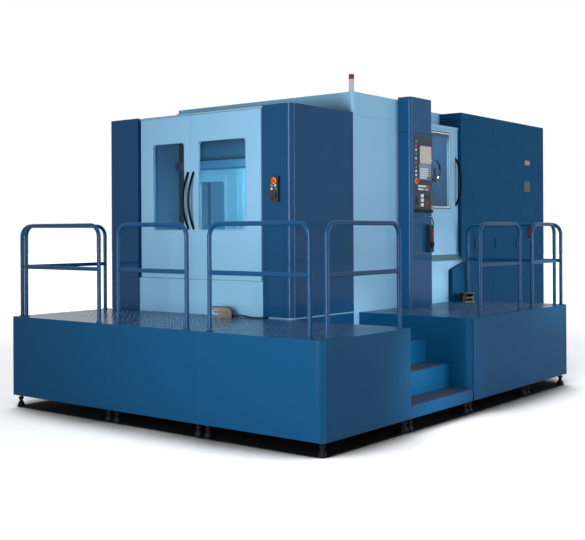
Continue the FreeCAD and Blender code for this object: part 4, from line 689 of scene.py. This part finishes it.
lap = 0.016
window_corner = 0.038
gasket_section = [(-0.004, -0.004), (-0.004, 0.0015), (0.0, 0.004), (0.005, 0.004), (0.008, 0.0005)]
gasket_blue = enamel("gasket_blue", (0.2, 0.4, 0.6), 0.4)
for side in ("left", "right"):
    pane_low, pane_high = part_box("glass_" + side)
    leaf_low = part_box("door_" + side)[0]
    opening = loop_points((pane_low.x + lap, pane_low.z + lap), (pane_high.x - lap, pane_high.z - lap),
                          window_corner)
    piece_from("window_gasket_" + side, lambda shape: add_loop(
        shape, opening, lambda u, v, height: Vector((u, leaf_low.y - height, v)), gasket_section),
        gasket_blue, "loading_door_" + side)

lip_width = 0.0045
lip_inset = 0.01
leaf_low, leaf_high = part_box("door_left")
piece_from("meeting_lip", lambda shape: add_block(
    shape, (leaf_high.x - 0.0005, leaf_low.y + 0.0025, leaf_low.z + lip_inset),
    (leaf_high.x + lip_width, leaf_low.y + 0.03, leaf_high.z - lip_inset), 0.001),
    gasket_blue, "loading_door_left")

# ---- Bow handles ----
# One upright handle on each loading door and one on the operator door: bent steel bar with a satin black
# coating, screwed on through its feet.
handle_black = enamel("handle_black_coating", (0.002, 0.003, 0.005), 0.4, 0.04, 0.04, rub_and_highlight=0.0)
finish(handle_black, "handle_left", "handle_right", "operator_handle")

# ---- Station box ----
# A black plastic push-button box screwed to the dark corner: a stop button on a yellow ring, two pairs of
# small lit buttons in steel rings, and a turning selector under them.
box_black = moulded("box_black_plastic", (0.014, 0.015, 0.017), 0.42)
finish(box_black, "station_box")
stop_red = moulded("stop_red_plastic", (0.6, 0.02, 0.012), 0.28, 0.04, specular=0.5)
finish(stop_red, "station_stop", "panel_stop")
stop_yellow = moulded("stop_yellow_plastic", (0.78, 0.3, 0.012), 0.35, 0.04)
lamp_green = moulded("lamp_green_plastic", (0.015, 0.3, 0.09), 0.25, 0.03, specular=0.5)
cap_white = moulded("cap_white_plastic", (0.66, 0.67, 0.68), 0.35, 0.04)
cap_red = moulded("cap_red_plastic", (0.5, 0.02, 0.02), 0.3, 0.04)
ring_steel = worked_steel("ring_steel", (0.5, 0.5, 0.5), 0.25, scale=200.0)
box_low, box_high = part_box("station_box")
box_depth = 0.03
box_face = box_high.y - box_depth
box_middle = (box_low.x + box_high.x) / 2
stop_centre = sum(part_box("station_stop"), Vector()) / 2
front_out = Vector((0, -1, 0))
lit_radius, lit_height, lit_across = 0.0095, 0.0085, 0.022


def yellow_ring(shape, centre, axis):
    add_turned(shape, centre, axis, [(0.0275, 0.0), (0.0305, 0.0005), (0.0305, 0.0035), (0.029, 0.0045),
                                     (0.0225, 0.0045)], 40)


def lit_button(name, centre, material):
    """A small lit button: a steel ring and a domed cap."""
    radius, height = lit_radius, lit_height
    piece_from(name + "_ring", lambda shape: add_turned(shape, centre, front_out, [
        (radius + 0.004, -0.001), (radius + 0.004, height - 0.004), (radius + 0.002, height - 0.002),
        (radius, height - 0.002)], 24), ring_steel)
    piece_from(name + "_cap", lambda shape: add_turned(shape, centre, front_out, [
        (radius, 0.0), (radius, height), (radius * 0.8, height + 0.0018), (radius * 0.3, height + 0.0025)], 24),
        material)


piece_from("station_stop_ring", lambda shape: yellow_ring(
    shape, Vector((stop_centre.x, box_face, stop_centre.z)), front_out), stop_yellow)
for name, side, down, cap in (
        ("station_green", -1, 0.093, lamp_green), ("station_white", 1, 0.093, cap_white),
        ("station_pale", -1, 0.125, cap_white), ("station_black", 1, 0.125, box_black)):
    lit_button(name, Vector((box_middle + side * lit_across, box_face, box_high.z - down)), cap)


def selector_grip(shape):
    """The selector's turning grip on its guard."""
    centre = Vector((box_middle, box_low.y, box_low.z + 0.059))
    add_turned(shape, centre, front_out, [(0.02, -0.0005), (0.02, 0.002), (0.018, 0.003)], 32)
    add_block(shape, centre + Vector((-0.004, -0.009, -0.017)), centre + Vector((0.004, -0.002, 0.017)), 0.0015)


piece_from("station_selector_grip", selector_grip, box_black)

# ---- Control pillar and pod ----
# The pillar is folded from dark sheet with one rounded edge. Its middle length is a pod of the same sheet
# that swings out on two pins.
finish(enamel("pillar_blue_enamel", (0.003, 0.062, 0.165), 0.5, 0.05, 0.25, edge=0.004),
       "control_pillar", "control_pod")

# ---- Operating panel ----
# A dark grey plate set in the pod: screen in a pale bezel, key field, lit buttons down its side, two rows of
# switches, a hand dial, knobs and a black palm rest along its foot.
finish(enamel("operating_panel_grey", (0.03, 0.042, 0.062), 0.5, 0.12, 0.0, edge=0.0015), "control_panel")
pod_body = "control_pod"
plate_low, plate_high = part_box("control_panel")
pod_low, pod_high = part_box("control_pod")
plate_face = pod_high.x + 0.002
unit_near, unit_far = plate_low.y + 0.098, plate_high.y - 0.008
side_out = Vector((1, 0, 0))
key_width, key_rise, key_across, key_up, key_lap = 0.019, 0.018, 0.025, 0.024, 0.0004
button_size, button_pitch, cap_lap = 0.022, 0.046, 0.0008
switch_width, switch_rise, switch_pitch = 0.024, 0.02, 0.034
switch_rows_up = (0.248, 0.282)
legend_rows_up = (0.07, 0.12, 0.17)
knob_radius, knob_height = 0.0165, 0.018
bezel_violet = moulded("bezel_violet_grey", (0.4, 0.37, 0.48), 0.4, 0.05)
key_field_blue = moulded("key_field_blue_grey", (0.15, 0.19, 0.3), 0.45, 0.05)
key_white = moulded("key_white", (0.55, 0.58, 0.66), 0.4, 0.04)
key_grey = moulded("key_grey", (0.2, 0.23, 0.31), 0.4, 0.04)
key_black = moulded("key_black", (0.02, 0.022, 0.028), 0.4, 0.04)


def screen_glow(name):
    """A liquid-crystal screen behind glass: grey-yellow with soft rows of varying depth."""
    material, tree = fresh_material(name)
    rows = noise(tree, 12.0, 2.0, (1.0, 3.0, 9.0))
    plug(tree.nodes["Principled BSDF"], {
        "Base Color": mixed(tree, rows, (0.3, 0.3, 0.24), (0.48, 0.47, 0.36)),
        "Roughness": 0.15, "Coat Weight": 0.6, "Coat Roughness": 0.05})
    return material


def panel_box(shape, near, far, low, high, foot, top, edge):
    """A block on the panel: near and far along y, low and high along z, foot and top above the plate."""
    add_block(shape, (plate_face + foot, near, low), (plate_face + top, far, high), edge)


def panel_piece(name, near, far, low, high, foot, top, edge, material):
    """One such block as a piece of its own."""
    piece_from(name, lambda shape: panel_box(shape, near, far, low, high, foot, top, edge), material,
               pod_body)


def panel_frame(shape):
    section = [(0.0, 0.0075), (0.0, 0.0098), (0.006, 0.0104), (0.0185, 0.0104), (0.019, 0.0075)]
    inner = loop_points((unit_near + 0.02, plate_high.z - 0.283),
                        (unit_far - 0.02, plate_high.z - 0.129), 0.005, 4)
    add_loop(shape, inner, lambda u, v, height: Vector((plate_face + height, u, v)), section)


piece_from("screen_bezel", panel_frame, bezel_violet, pod_body)
panel_piece("screen", unit_near + 0.019, unit_far - 0.019, plate_high.z - 0.284, plate_high.z - 0.128,
            0.005, 0.0088, 0.0005, screen_glow("screen_grey_yellow"))
panel_piece("key_field", unit_near - 0.001, unit_far + 0.001, plate_low.z + 0.365, plate_high.z - 0.302,
            0.0, 0.0046, 0.0015, key_field_blue)


def coloured_sets(name, mesh_maker, caps):
    """One piece for each colour of cap in a group of keys or switches."""
    for kind, cap in caps:
        piece_from(name + kind, lambda shape: mesh_maker(shape, kind), cap, pod_body)


def add_cap(shape, y, z, width, rise, lap=cap_lap, foot=0.0, top=0.0058, edge=0.002):
    """A cap that laps over a button of the panel on all four sides."""
    panel_box(shape, y - lap, y + width + lap, z - lap, z + rise + lap, foot, top, edge)


def key_caps(shape, wanted):
    """The keys of one colour: white letters, grey down the far side and along the top, black in one corner."""
    for column in range(9):
        for row in range(6):
            kind = "black" if row == 0 and column > 5 else "grey" if column > 6 or row == 5 else "white"
            if kind == wanted:
                add_cap(shape, unit_near + 0.012 + key_across * column, plate_low.z + 0.378 + key_up * row,
                        key_width, key_rise, key_lap, 0.004, 0.0082, 0.0018)


coloured_sets("keys_", key_caps, (("white", key_white), ("grey", key_grey), ("black", key_black)))


def side_buttons(shape, wanted):
    """The column of lit buttons beside the screen, from the foot up."""
    order = ("white", "white", "green", "red", "white", "green", "white", "red", "green")
    for k, kind in enumerate(order):
        if kind == wanted:
            add_cap(shape, plate_low.y + 0.018, plate_low.z + 0.398 + button_pitch * k, button_size, button_size)


coloured_sets("side_buttons_", side_buttons, (("white", cap_white), ("green", lamp_green), ("red", cap_red)))
switch_colours = {(5, 1): "red", (6, 1): "red", (6, 0): "red", (3, 0): "grey", (4, 0): "grey"}


def switch_rows(shape, wanted):
    """Two rows of seven switches under the keys, and the blank legend plates beside the dial."""
    for c in range(7):
        for row, up in enumerate(switch_rows_up):
            if switch_colours.get((c, row), "white") == wanted:
                add_cap(shape, plate_low.y + 0.076 + switch_pitch * c, plate_low.z + up, switch_width, switch_rise)
    if wanted == "white":
        for low in legend_rows_up:
            z = plate_low.z + low
            panel_box(shape, plate_low.y + 0.13, plate_low.y + 0.19, z, z + 0.036, 0.0, 0.0025, 0.001)


coloured_sets("switch_rows_", switch_rows, (("white", cap_white), ("grey", key_grey), ("red", cap_red)))


def fluted(shape, y, z, radius, height, flutes=18):
    """A turned knob with flutes round its skirt and a raised pointer."""
    centre = Vector((plate_face, y, z))
    rings = []
    for reach, along in ((1.12, 0.0), (1.12, 0.15), (1.03, 0.22), (1.0, 0.9), (0.9, 1.0)):
        ring = []
        for k in range(flutes * 2):
            turn = math.pi * k / flutes
            out = radius * reach * (1.0 if k % 2 or along < 0.2 else 0.95)
            ring.append(shape.verts.new(centre + Vector((
                height * along, out * math.cos(turn), out * math.sin(turn)))))
        rings.append(ring)
    skin(shape, rings)
    panel_box(shape, y - 0.0015, y + 0.0015, z, z + radius * 0.85, height - 0.001, height + 0.001, 0.0004)


def black_knobs(shape):
    fluted(shape, plate_low.y + 0.066, plate_low.z + 0.128, 0.0345, 0.0225, 30)
    for u, v in ((0.306, 0.108), (0.246, 0.178), (0.306, 0.178)):
        fluted(shape, plate_low.y + u, plate_low.z + v, knob_radius, knob_height)


piece_from("knobs_black", black_knobs, key_black, pod_body)
piece_from("knob_red", lambda shape: fluted(
    shape, plate_low.y + 0.246, plate_low.z + 0.108, knob_radius, knob_height), cap_red, pod_body)
palm_black = moulded("palm_rest_black", (0.002, 0.003, 0.005), 0.35, 0.03, specular=0.06)
panel_piece("palm_rest", plate_low.y - 0.0006, plate_high.y + 0.0006, plate_low.z + 0.0034, plate_low.z + 0.0366,
            0.0, 0.0266, 0.007, palm_black)
panel_stop_centre = sum(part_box("panel_stop"), Vector()) / 2
piece_from("panel_stop_ring", lambda shape: yellow_ring(
    shape, Vector((plate_face, panel_stop_centre.y, panel_stop_centre.z)), side_out), stop_yellow,
    pod_body)

# ---- Pendant ----
# A narrow black plastic box held on the pillar's foot, with a milled wheel to turn and a red button
# above it.
finish(moulded("pendant_black_plastic", (0.004, 0.012, 0.028), 0.5, specular=0.15), "pendant")
pillar_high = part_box("control_pillar")[1]
pendant_face = pillar_high.x + 0.048
pendant_middle = pillar_high.y - 0.0775
pendant_foot = pod_low.z - 0.399
wheel_up, button_up = 0.082, 0.196


def milled_wheel(shape):
    centre = Vector((pendant_face, pendant_middle, pendant_foot + wheel_up))
    add_turned(shape, centre, side_out, [(0.0345, -0.0005), (0.0345, 0.003), (0.0315, 0.005), (0.0315, 0.0135),
                                         (0.029, 0.0155), (0.006, 0.0155)], 48)
    add_turned(shape, centre + Vector((0.0145, 0, 0.021)), side_out, [
        (0.005, 0.0), (0.006, 0.008), (0.005, 0.01)], 16)


piece_from("pendant_wheel", milled_wheel, palm_black)
piece_from("pendant_button", lambda shape: add_turned(
    shape, Vector((pendant_face, pendant_middle, pendant_foot + button_up)), side_out,
    [(0.012, 0.0), (0.0165, 0.006), (0.0185, 0.012), (0.0185, 0.019), (0.0165, 0.0225), (0.006, 0.0235)], 32),
    cap_red)

# ---- Cable hook ----
# A bent steel rod with the handles' black coating, screwed into the pillar's far edge just under the pod.
# The pendant's cable hangs on it.
hook_rod = 0.006
hook_curve = bpy.data.curves.new("pillar_hook", "CURVE")
hook_curve.dimensions = "3D"
hook_line = hook_curve.splines.new("BEZIER")
hook_start = Vector((pod_high.x - 0.014, pillar_high.y - 0.004, pod_low.z - 0.02))
hook_bends = ((0.0, 0.0), (0.03, 0.0), (0.058, -0.028), (0.06, -0.085))
hook_line.bezier_points.add(len(hook_bends) - 1)
for point, (out, rise) in zip(hook_line.bezier_points, hook_bends):
    point.co = hook_start + Vector((0, out, rise))
    point.handle_left_type = point.handle_right_type = "AUTO"
hook_curve.bevel_depth = hook_rod
hook_curve.bevel_resolution = 3
hook_curve.use_fill_caps = True
hook_curve.materials.append(handle_black)
pillar_hook = in_scene("pillar_hook", hook_curve)
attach(pillar_hook, whole_body)

# ---- Operator door ----
# A sliding door of folded sheet with a laminated pane in a dark section with a pale bead, and a disc that
# spins in its black ring to throw coolant off. A painted wear plate covers the sloped sill under it, grey-green,
# and darker than the enamel round it as painted shade.
finish(light_enamel, "operator_apron", "operator_door")
finish(window_glass("operator_window_glass", (0.45, 0.84, 0.92)), "operator_glass", "spin_window")
finish(box_black, "spin_frame")
op_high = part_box("operator_door")[1]
op_pane_low, op_pane_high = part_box("operator_glass")
pane_outline = loop_points((op_pane_low.y, op_pane_low.z), (op_pane_high.y, op_pane_high.z), 0.02, 5)
bead_outline = loop_points((op_pane_low.y + 0.006, op_pane_low.z + 0.006),
                           (op_pane_high.y - 0.006, op_pane_high.z - 0.006), 0.018, 5)
bead_white = moulded("bead_white_rubber", (0.62, 0.68, 0.7), 0.3, 0.05)


def on_operator_door(u, v, height):
    return Vector((op_high.x + height, u, v))


piece_from("operator_window_section", lambda shape: add_loop(
    shape, pane_outline, on_operator_door, [(-0.004, -0.004), (-0.004, 0.002), (0.0, 0.003), (0.006, 0.002),
                                            (0.007, 0.0)]), rubber, "operator_door")
piece_from("operator_window_bead", lambda shape: add_loop(
    shape, bead_outline, on_operator_door, [(-0.012, -0.004), (-0.012, 0.0015), (-0.006, 0.004), (0.001, 0.003),
                                            (0.001, -0.003)]), bead_white, "operator_door")

sill_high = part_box("operator_apron")[1].x
sill_rise, sill_run, apron_top = 0.07, 0.0454, 1.38
sill_sheet = 0.0014
# Grey-green, and darkened as painted shade on the sill.
sill_grey_painted_shade = enamel("sill_grey_green", (0.06, 0.14, 0.17), 0.5, 0.1, 0.05, rub_and_highlight=0.0)


def sill_plate(shape):
    """The painted wear plate on the sloped sill under the door: grey-green, darker than the enamel round it as
    painted shade.
    """
    near, far = pillar_high.y + 0.002, op_high.y + 0.001
    skin(shape, [[shape.verts.new((sill_high - u * sill_run + lift, y, apron_top + u * sill_rise + lift))
                  for u, lift in ((0.0, 0.0002), (1.0, 0.0002), (1.0, sill_sheet), (0.0, sill_sheet))]
                 for y in (near, far)])


piece_from("sill_plate", sill_plate, sill_grey_painted_shade)

# ---- Electrical cabinet ----
# Sheet-steel cabinet on a plinth in dark blue, three doors flush with its frame, each with a turning
# latch; the far door carries a display, a blank plate and the main switch. Inside, drives in moulded
# cases hang on a plated sheet, with trunking between their rows.
finish(enamel("cabinet_blue_enamel", (0.0015, 0.056, 0.14), 0.62, 0.03, 0.04, edge=0.003),
       "cabinet_body", "cabinet_door_near", "cabinet_door_middle", "cabinet_door_far")
finish(moulded("breaker_red_plastic", (0.17, 0.008, 0.012), 0.3, 0.04), "breaker_handle")
latch_black = moulded("latch_black", (0.012, 0.014, 0.02), 0.35, 0.05)
display_violet = moulded("display_violet_grey", (0.17, 0.17, 0.28), 0.25, 0.03)
plate_grey = moulded("plate_dark_grey", (0.035, 0.04, 0.05), 0.45, 0.05)
seam_half = 0.0025
lock_across, lock_up = 0.075, 1.53
grip_foot, grip_top = 1.545, 1.625
body_low, body_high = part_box("cabinet_body")
leaf_face = body_high.x - 0.055


def on_door(shape, y0, y1, z0, z1, foot, top, edge):
    add_block(shape, (leaf_face + foot, y0, z0), (leaf_face + top, y1, z1), edge)


def door_latch(shape, y):
    """The lock and the folding grip in a latch's raised plate."""
    add_turned(shape, Vector((leaf_face + 0.0118, y + lock_across, lock_up)), side_out, [
        (0.008, 0.0), (0.008, 0.002), (0.006, 0.003)], 24)
    on_door(shape, y + lock_across - 0.005, y + lock_across + 0.005, grip_foot, grip_top, 0.0112, 0.0165, 0.002)


for door in ("near", "middle", "far"):
    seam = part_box("cabinet_door_" + door)[0].y - seam_half
    piece_from("latch_" + door, lambda shape: door_latch(shape, seam), latch_black,
               "cabinet_door_" + door)
far_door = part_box("cabinet_door_far")[0].y - seam_half
breaker = sum(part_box("breaker_handle"), Vector()) / 2
for name, y0, y1, z0, z1, foot, top, edge, material, slot_name in (
        ("display_frame", 0.3185, 0.4945, 2.6085, 2.6815, 0.0, 0.006, 0.002, latch_black, "black_box"),
        ("display_face", 0.33, 0.483, 2.62, 2.67, 0.004, 0.007, 0.0008, display_violet, "window"),
        ("blank_plate", 0.3155, 0.4915, 2.2545, 2.3985, 0.0, 0.0046, 0.001, plate_grey, "panel_grey")):
    piece_from(name, lambda shape: on_door(shape, far_door + y0, far_door + y1, z0, z1, foot, top, edge), material,
               "cabinet_door_far")


def breaker_plate(shape):
    """The main switch's plate, left open round the handle's hub, with four screws."""
    section = [(-0.016, 0.0055), (-0.016, 0.0072), (0.0, 0.0072), (0.0015, 0.0055)]
    outline = loop_points((breaker.y - 0.05, breaker.z - 0.11), (breaker.y + 0.05, breaker.z + 0.11), 0.006, 4)
    add_loop(shape, outline, lambda u, v, height: Vector((leaf_face + height, u, v)), section)
    for dy in (-0.041, 0.041):
        for dz in (-0.1, 0.1):
            add_screw(shape, Vector((leaf_face + 0.007, breaker.y + dy, breaker.z + dz)), (1, 0, 0), 0.004)


piece_from("breaker_plate_rim", breaker_plate, latch_black, "cabinet_door_far")
door_low, door_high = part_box("cabinet_door_near")
duct_length = 0.33
near_wall = body_low.y + duct_length
sheet_face, sheet_foot, sheet_top = body_low.x + 0.04, door_low.z + 0.178, door_high.z - 0.158
drive_height, drive_gap, case_lap = 0.525, 0.09, 0.003
first_row = sheet_foot + 0.15
row_pitch = (sheet_top - first_row) / 3
trunking = 0.08
vent_pitch = 0.011
clamp_pitch, clamp_width = 0.02, 0.017
drive_grey = moulded("drive_grey_plastic", (0.3, 0.31, 0.33), 0.45, 0.05)
plated = worked_steel("zinc_plated_sheet", (0.2, 0.205, 0.195), 0.5, scale=30.0)
drive_fronts = [(body_low.x + 0.19 - 0.02 * row, near_wall + 0.15 + column * pitch, pitch - drive_gap,
                 first_row + row * row_pitch)
                for row in range(3) for pitch in [(body_high.y - near_wall - 0.3) / (4 + row)]
                for column in range(4 + row)]


def mounting_sheet(shape):
    """The plated sheet that the drives hang on."""
    add_block(shape, (sheet_face - 0.001, near_wall + 0.062, sheet_foot + 0.005),
              (sheet_face + 0.0025, body_high.y - 0.062, sheet_top - 0.005), 0.001)


def drive_cases(shape):
    """A moulded case round each drive, and slotted trunking between the rows."""
    for front, y, width, z in drive_fronts:
        add_block(shape, (sheet_face + 0.01, y - case_lap, z - case_lap),
                  (front + 0.004, y + width + case_lap, z + drive_height + case_lap), 0.002)
    for row in range(4):
        z = first_row + row * row_pitch - (row_pitch - drive_height) / 2 - trunking / 2
        add_block(shape, (sheet_face + 0.002, near_wall + 0.12, z),
                  (sheet_face + 0.062, body_high.y - 0.12, z + trunking), 0.002)


def drive_faces(shape):
    """Vents, a small display and a terminal block on each case."""
    for front, y, width, z in drive_fronts:
        face, middle = front + 0.0035, y + width / 2
        for k in range(9):
            half, vent = 0.38 * width, z + 0.4 + vent_pitch * k
            add_block(shape, (face, middle - half, vent), (face + 0.0016, middle + half, vent + 0.005))
        add_block(shape, (face, middle - 0.04, z + 0.33), (face + 0.003, middle + 0.04, z + 0.365), 0.001)
        for k in range(int(0.8 * width / clamp_pitch)):
            across = middle - 0.4 * width + clamp_pitch * k
            add_block(shape, (face, across, z + 0.03), (face + 0.012, across + clamp_width, z + 0.08), 0.0015)


piece_from("mounting_sheet", mounting_sheet, plated)
piece_from("drive_cases", drive_cases, drive_grey)
piece_from("drive_faces", drive_faces, latch_black)

# ---- Tower light ----
# A pale plastic tube on a short foot, screwed to the roof, with a ribbed red lens and a cap. A dark
# rubber seal parts the tube and the lens.
finish(moulded("tower_grey_plastic", (0.42, 0.36, 0.4), 0.4, 0.05), "tower_body")
lens_red = moulded("lens_red_plastic", (0.13, 0.008, 0.01), 0.25, 0.03, specular=0.3)
finish(lens_red, "tower_lens")
lens_low, lens_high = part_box("tower_lens")
tower_middle = Vector(((lens_low.x + lens_high.x) / 2, (lens_low.y + lens_high.y) / 2, 0.0))


def lens_ribs(shape):
    """Fine ribs moulded round the foot of the lens."""
    for k in range(6):
        foot = tower_middle + Vector((0, 0, lens_low.z + 0.008 + 0.006 * k))
        add_turned(shape, foot, (0, 0, 1), [(0.028, -0.0016), (0.0287, 0.0), (0.028, 0.0016)], 36)


piece_from("tower_seal", lambda shape: add_turned(shape, tower_middle + Vector((0, 0, lens_low.z)), (0, 0, 1), [
    (0.0278, -0.004), (0.0286, -0.003), (0.0286, 0.003), (0.0284, 0.004)], 36), rubber)
piece_from("lens_ribs", lens_ribs, lens_red)

# ---- Foot switches ----
# Cast metal guards over ribbed steel pedals, standing on the deck. The front guard has dulled to bronze
# grey; the side one is the same metal painted paler, as painted light for the light and highlights it catches.
finish(worked_steel("guard_cast_metal", (0.055, 0.053, 0.043), 0.32, scale=38.0, scratch=0.3), "foot_switch_front")
# The side guard's paler metal is painted light, not a different casting.
finish(worked_steel("side_cast_metal_painted_paler", (0.26, 0.25, 0.21), 0.32, scale=38.0, scratch=0.3), "foot_switch_side")
finish(worked_steel("pedal_metal", (0.12, 0.12, 0.12), 0.4, scale=60.0), "foot_pedal_front", "foot_pedal_side")

# ---- Foot switch cable ----
# A rubber-sheathed cable of 16 mm: it leaves the front switch through a tapered boot, lies on the deck
# and goes into the foot of the dark corner.
cable_route = ((-0.01998, -2.29596, 0.921), (0.029, -2.2615, 0.921), (0.099, -2.2605, 0.911),
               (0.181, -2.2947, 0.9085), (0.242, -2.3055, 0.9085), (0.294, -2.2849, 0.909),
               (0.325, -2.2385, 0.912), (0.325, -2.1825, 0.912))
cable_radius = 0.008
boot_length = 0.036
boot_wide, boot_taper = 0.0135, 0.0048
groove_depth, groove_pitch = 0.0007, 0.004
boot_sides = 24
cable_curve = bpy.data.curves.new("switch_cable", "CURVE")
cable_curve.dimensions = "3D"
route = cable_curve.splines.new("NURBS")
route.points.add(len(cable_route) - 1)
for point, place in zip(route.points, cable_route):
    point.co = (*place, 1.0)
route.order_u = 3
route.use_endpoint_u = True
route.resolution_u = 12
switch_cable = in_scene("switch_cable", cable_curve)
bare_line = bpy.data.meshes.new_from_object(switch_cable)
cable_line = [vertex.co.copy() for vertex in bare_line.vertices]
cable_curve.bevel_depth = cable_radius
cable_curve.bevel_resolution = 5
cable_curve.materials.append(rubber)


def cable_boot(shape):
    """The tapered boot: rings that shrink along the cable's own line, with four moulded grooves."""
    rings, run = [], 0.0
    stations = [(cable_line[0], 0.0)]
    for before, after in zip(cable_line, cable_line[1:]):
        step = (after - before).length
        pieces = max(1, int(step / 0.0015))
        for k in range(1, pieces + 1):
            if run + step * k / pieces <= boot_length:
                stations.append((before.lerp(after, k / pieces), run + step * k / pieces))
        run += step
        if run > boot_length:
            break
    ahead = (cable_line[1] - cable_line[0]).normalized()
    across = ahead.cross(Vector((0, 0, 1))).normalized()
    up = across.cross(ahead)
    way = [across * math.cos(2 * math.pi * k / boot_sides) + up * math.sin(2 * math.pi * k / boot_sides)
           for k in range(boot_sides)]
    for place, along in stations:
        groove = groove_depth if int(along / groove_pitch) % 2 else 0.0
        width = boot_wide - boot_taper * along / boot_length - groove
        rings.append([shape.verts.new(place + width * out) for out in way])
    skin(shape, rings)


boot = piece_from("cable_boot", cable_boot, rubber)
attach(switch_cable, whole_body)
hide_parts("foot_cable")

# ---- Inside the enclosure ----
# Castings in pale grey machine paint, ground guideways and pallets, a pale changer partition and a
# zinc-plated chip conveyor.
finish(enamel("casting_paint", (0.4, 0.46, 0.52), 0.5, 0.3, 0.1, edge=0.004),
       "machine_bed", "table_saddle", "column", "spindle_head", "changer_arm", "tool_magazine")
finish(enamel("partition_paint", (0.62, 0.82, 0.92), 0.45, edge=0.003), "changer_partition")
finish(worked_steel("ground_steel", (0.5, 0.51, 0.52), 0.25, (40.0, 1.0, 1.0), 8.0, 0.05),
       "pallets", "rotary_table", "setup_turntable", "spindle", "changer_quill")
finish(zinc, "chip_conveyor")
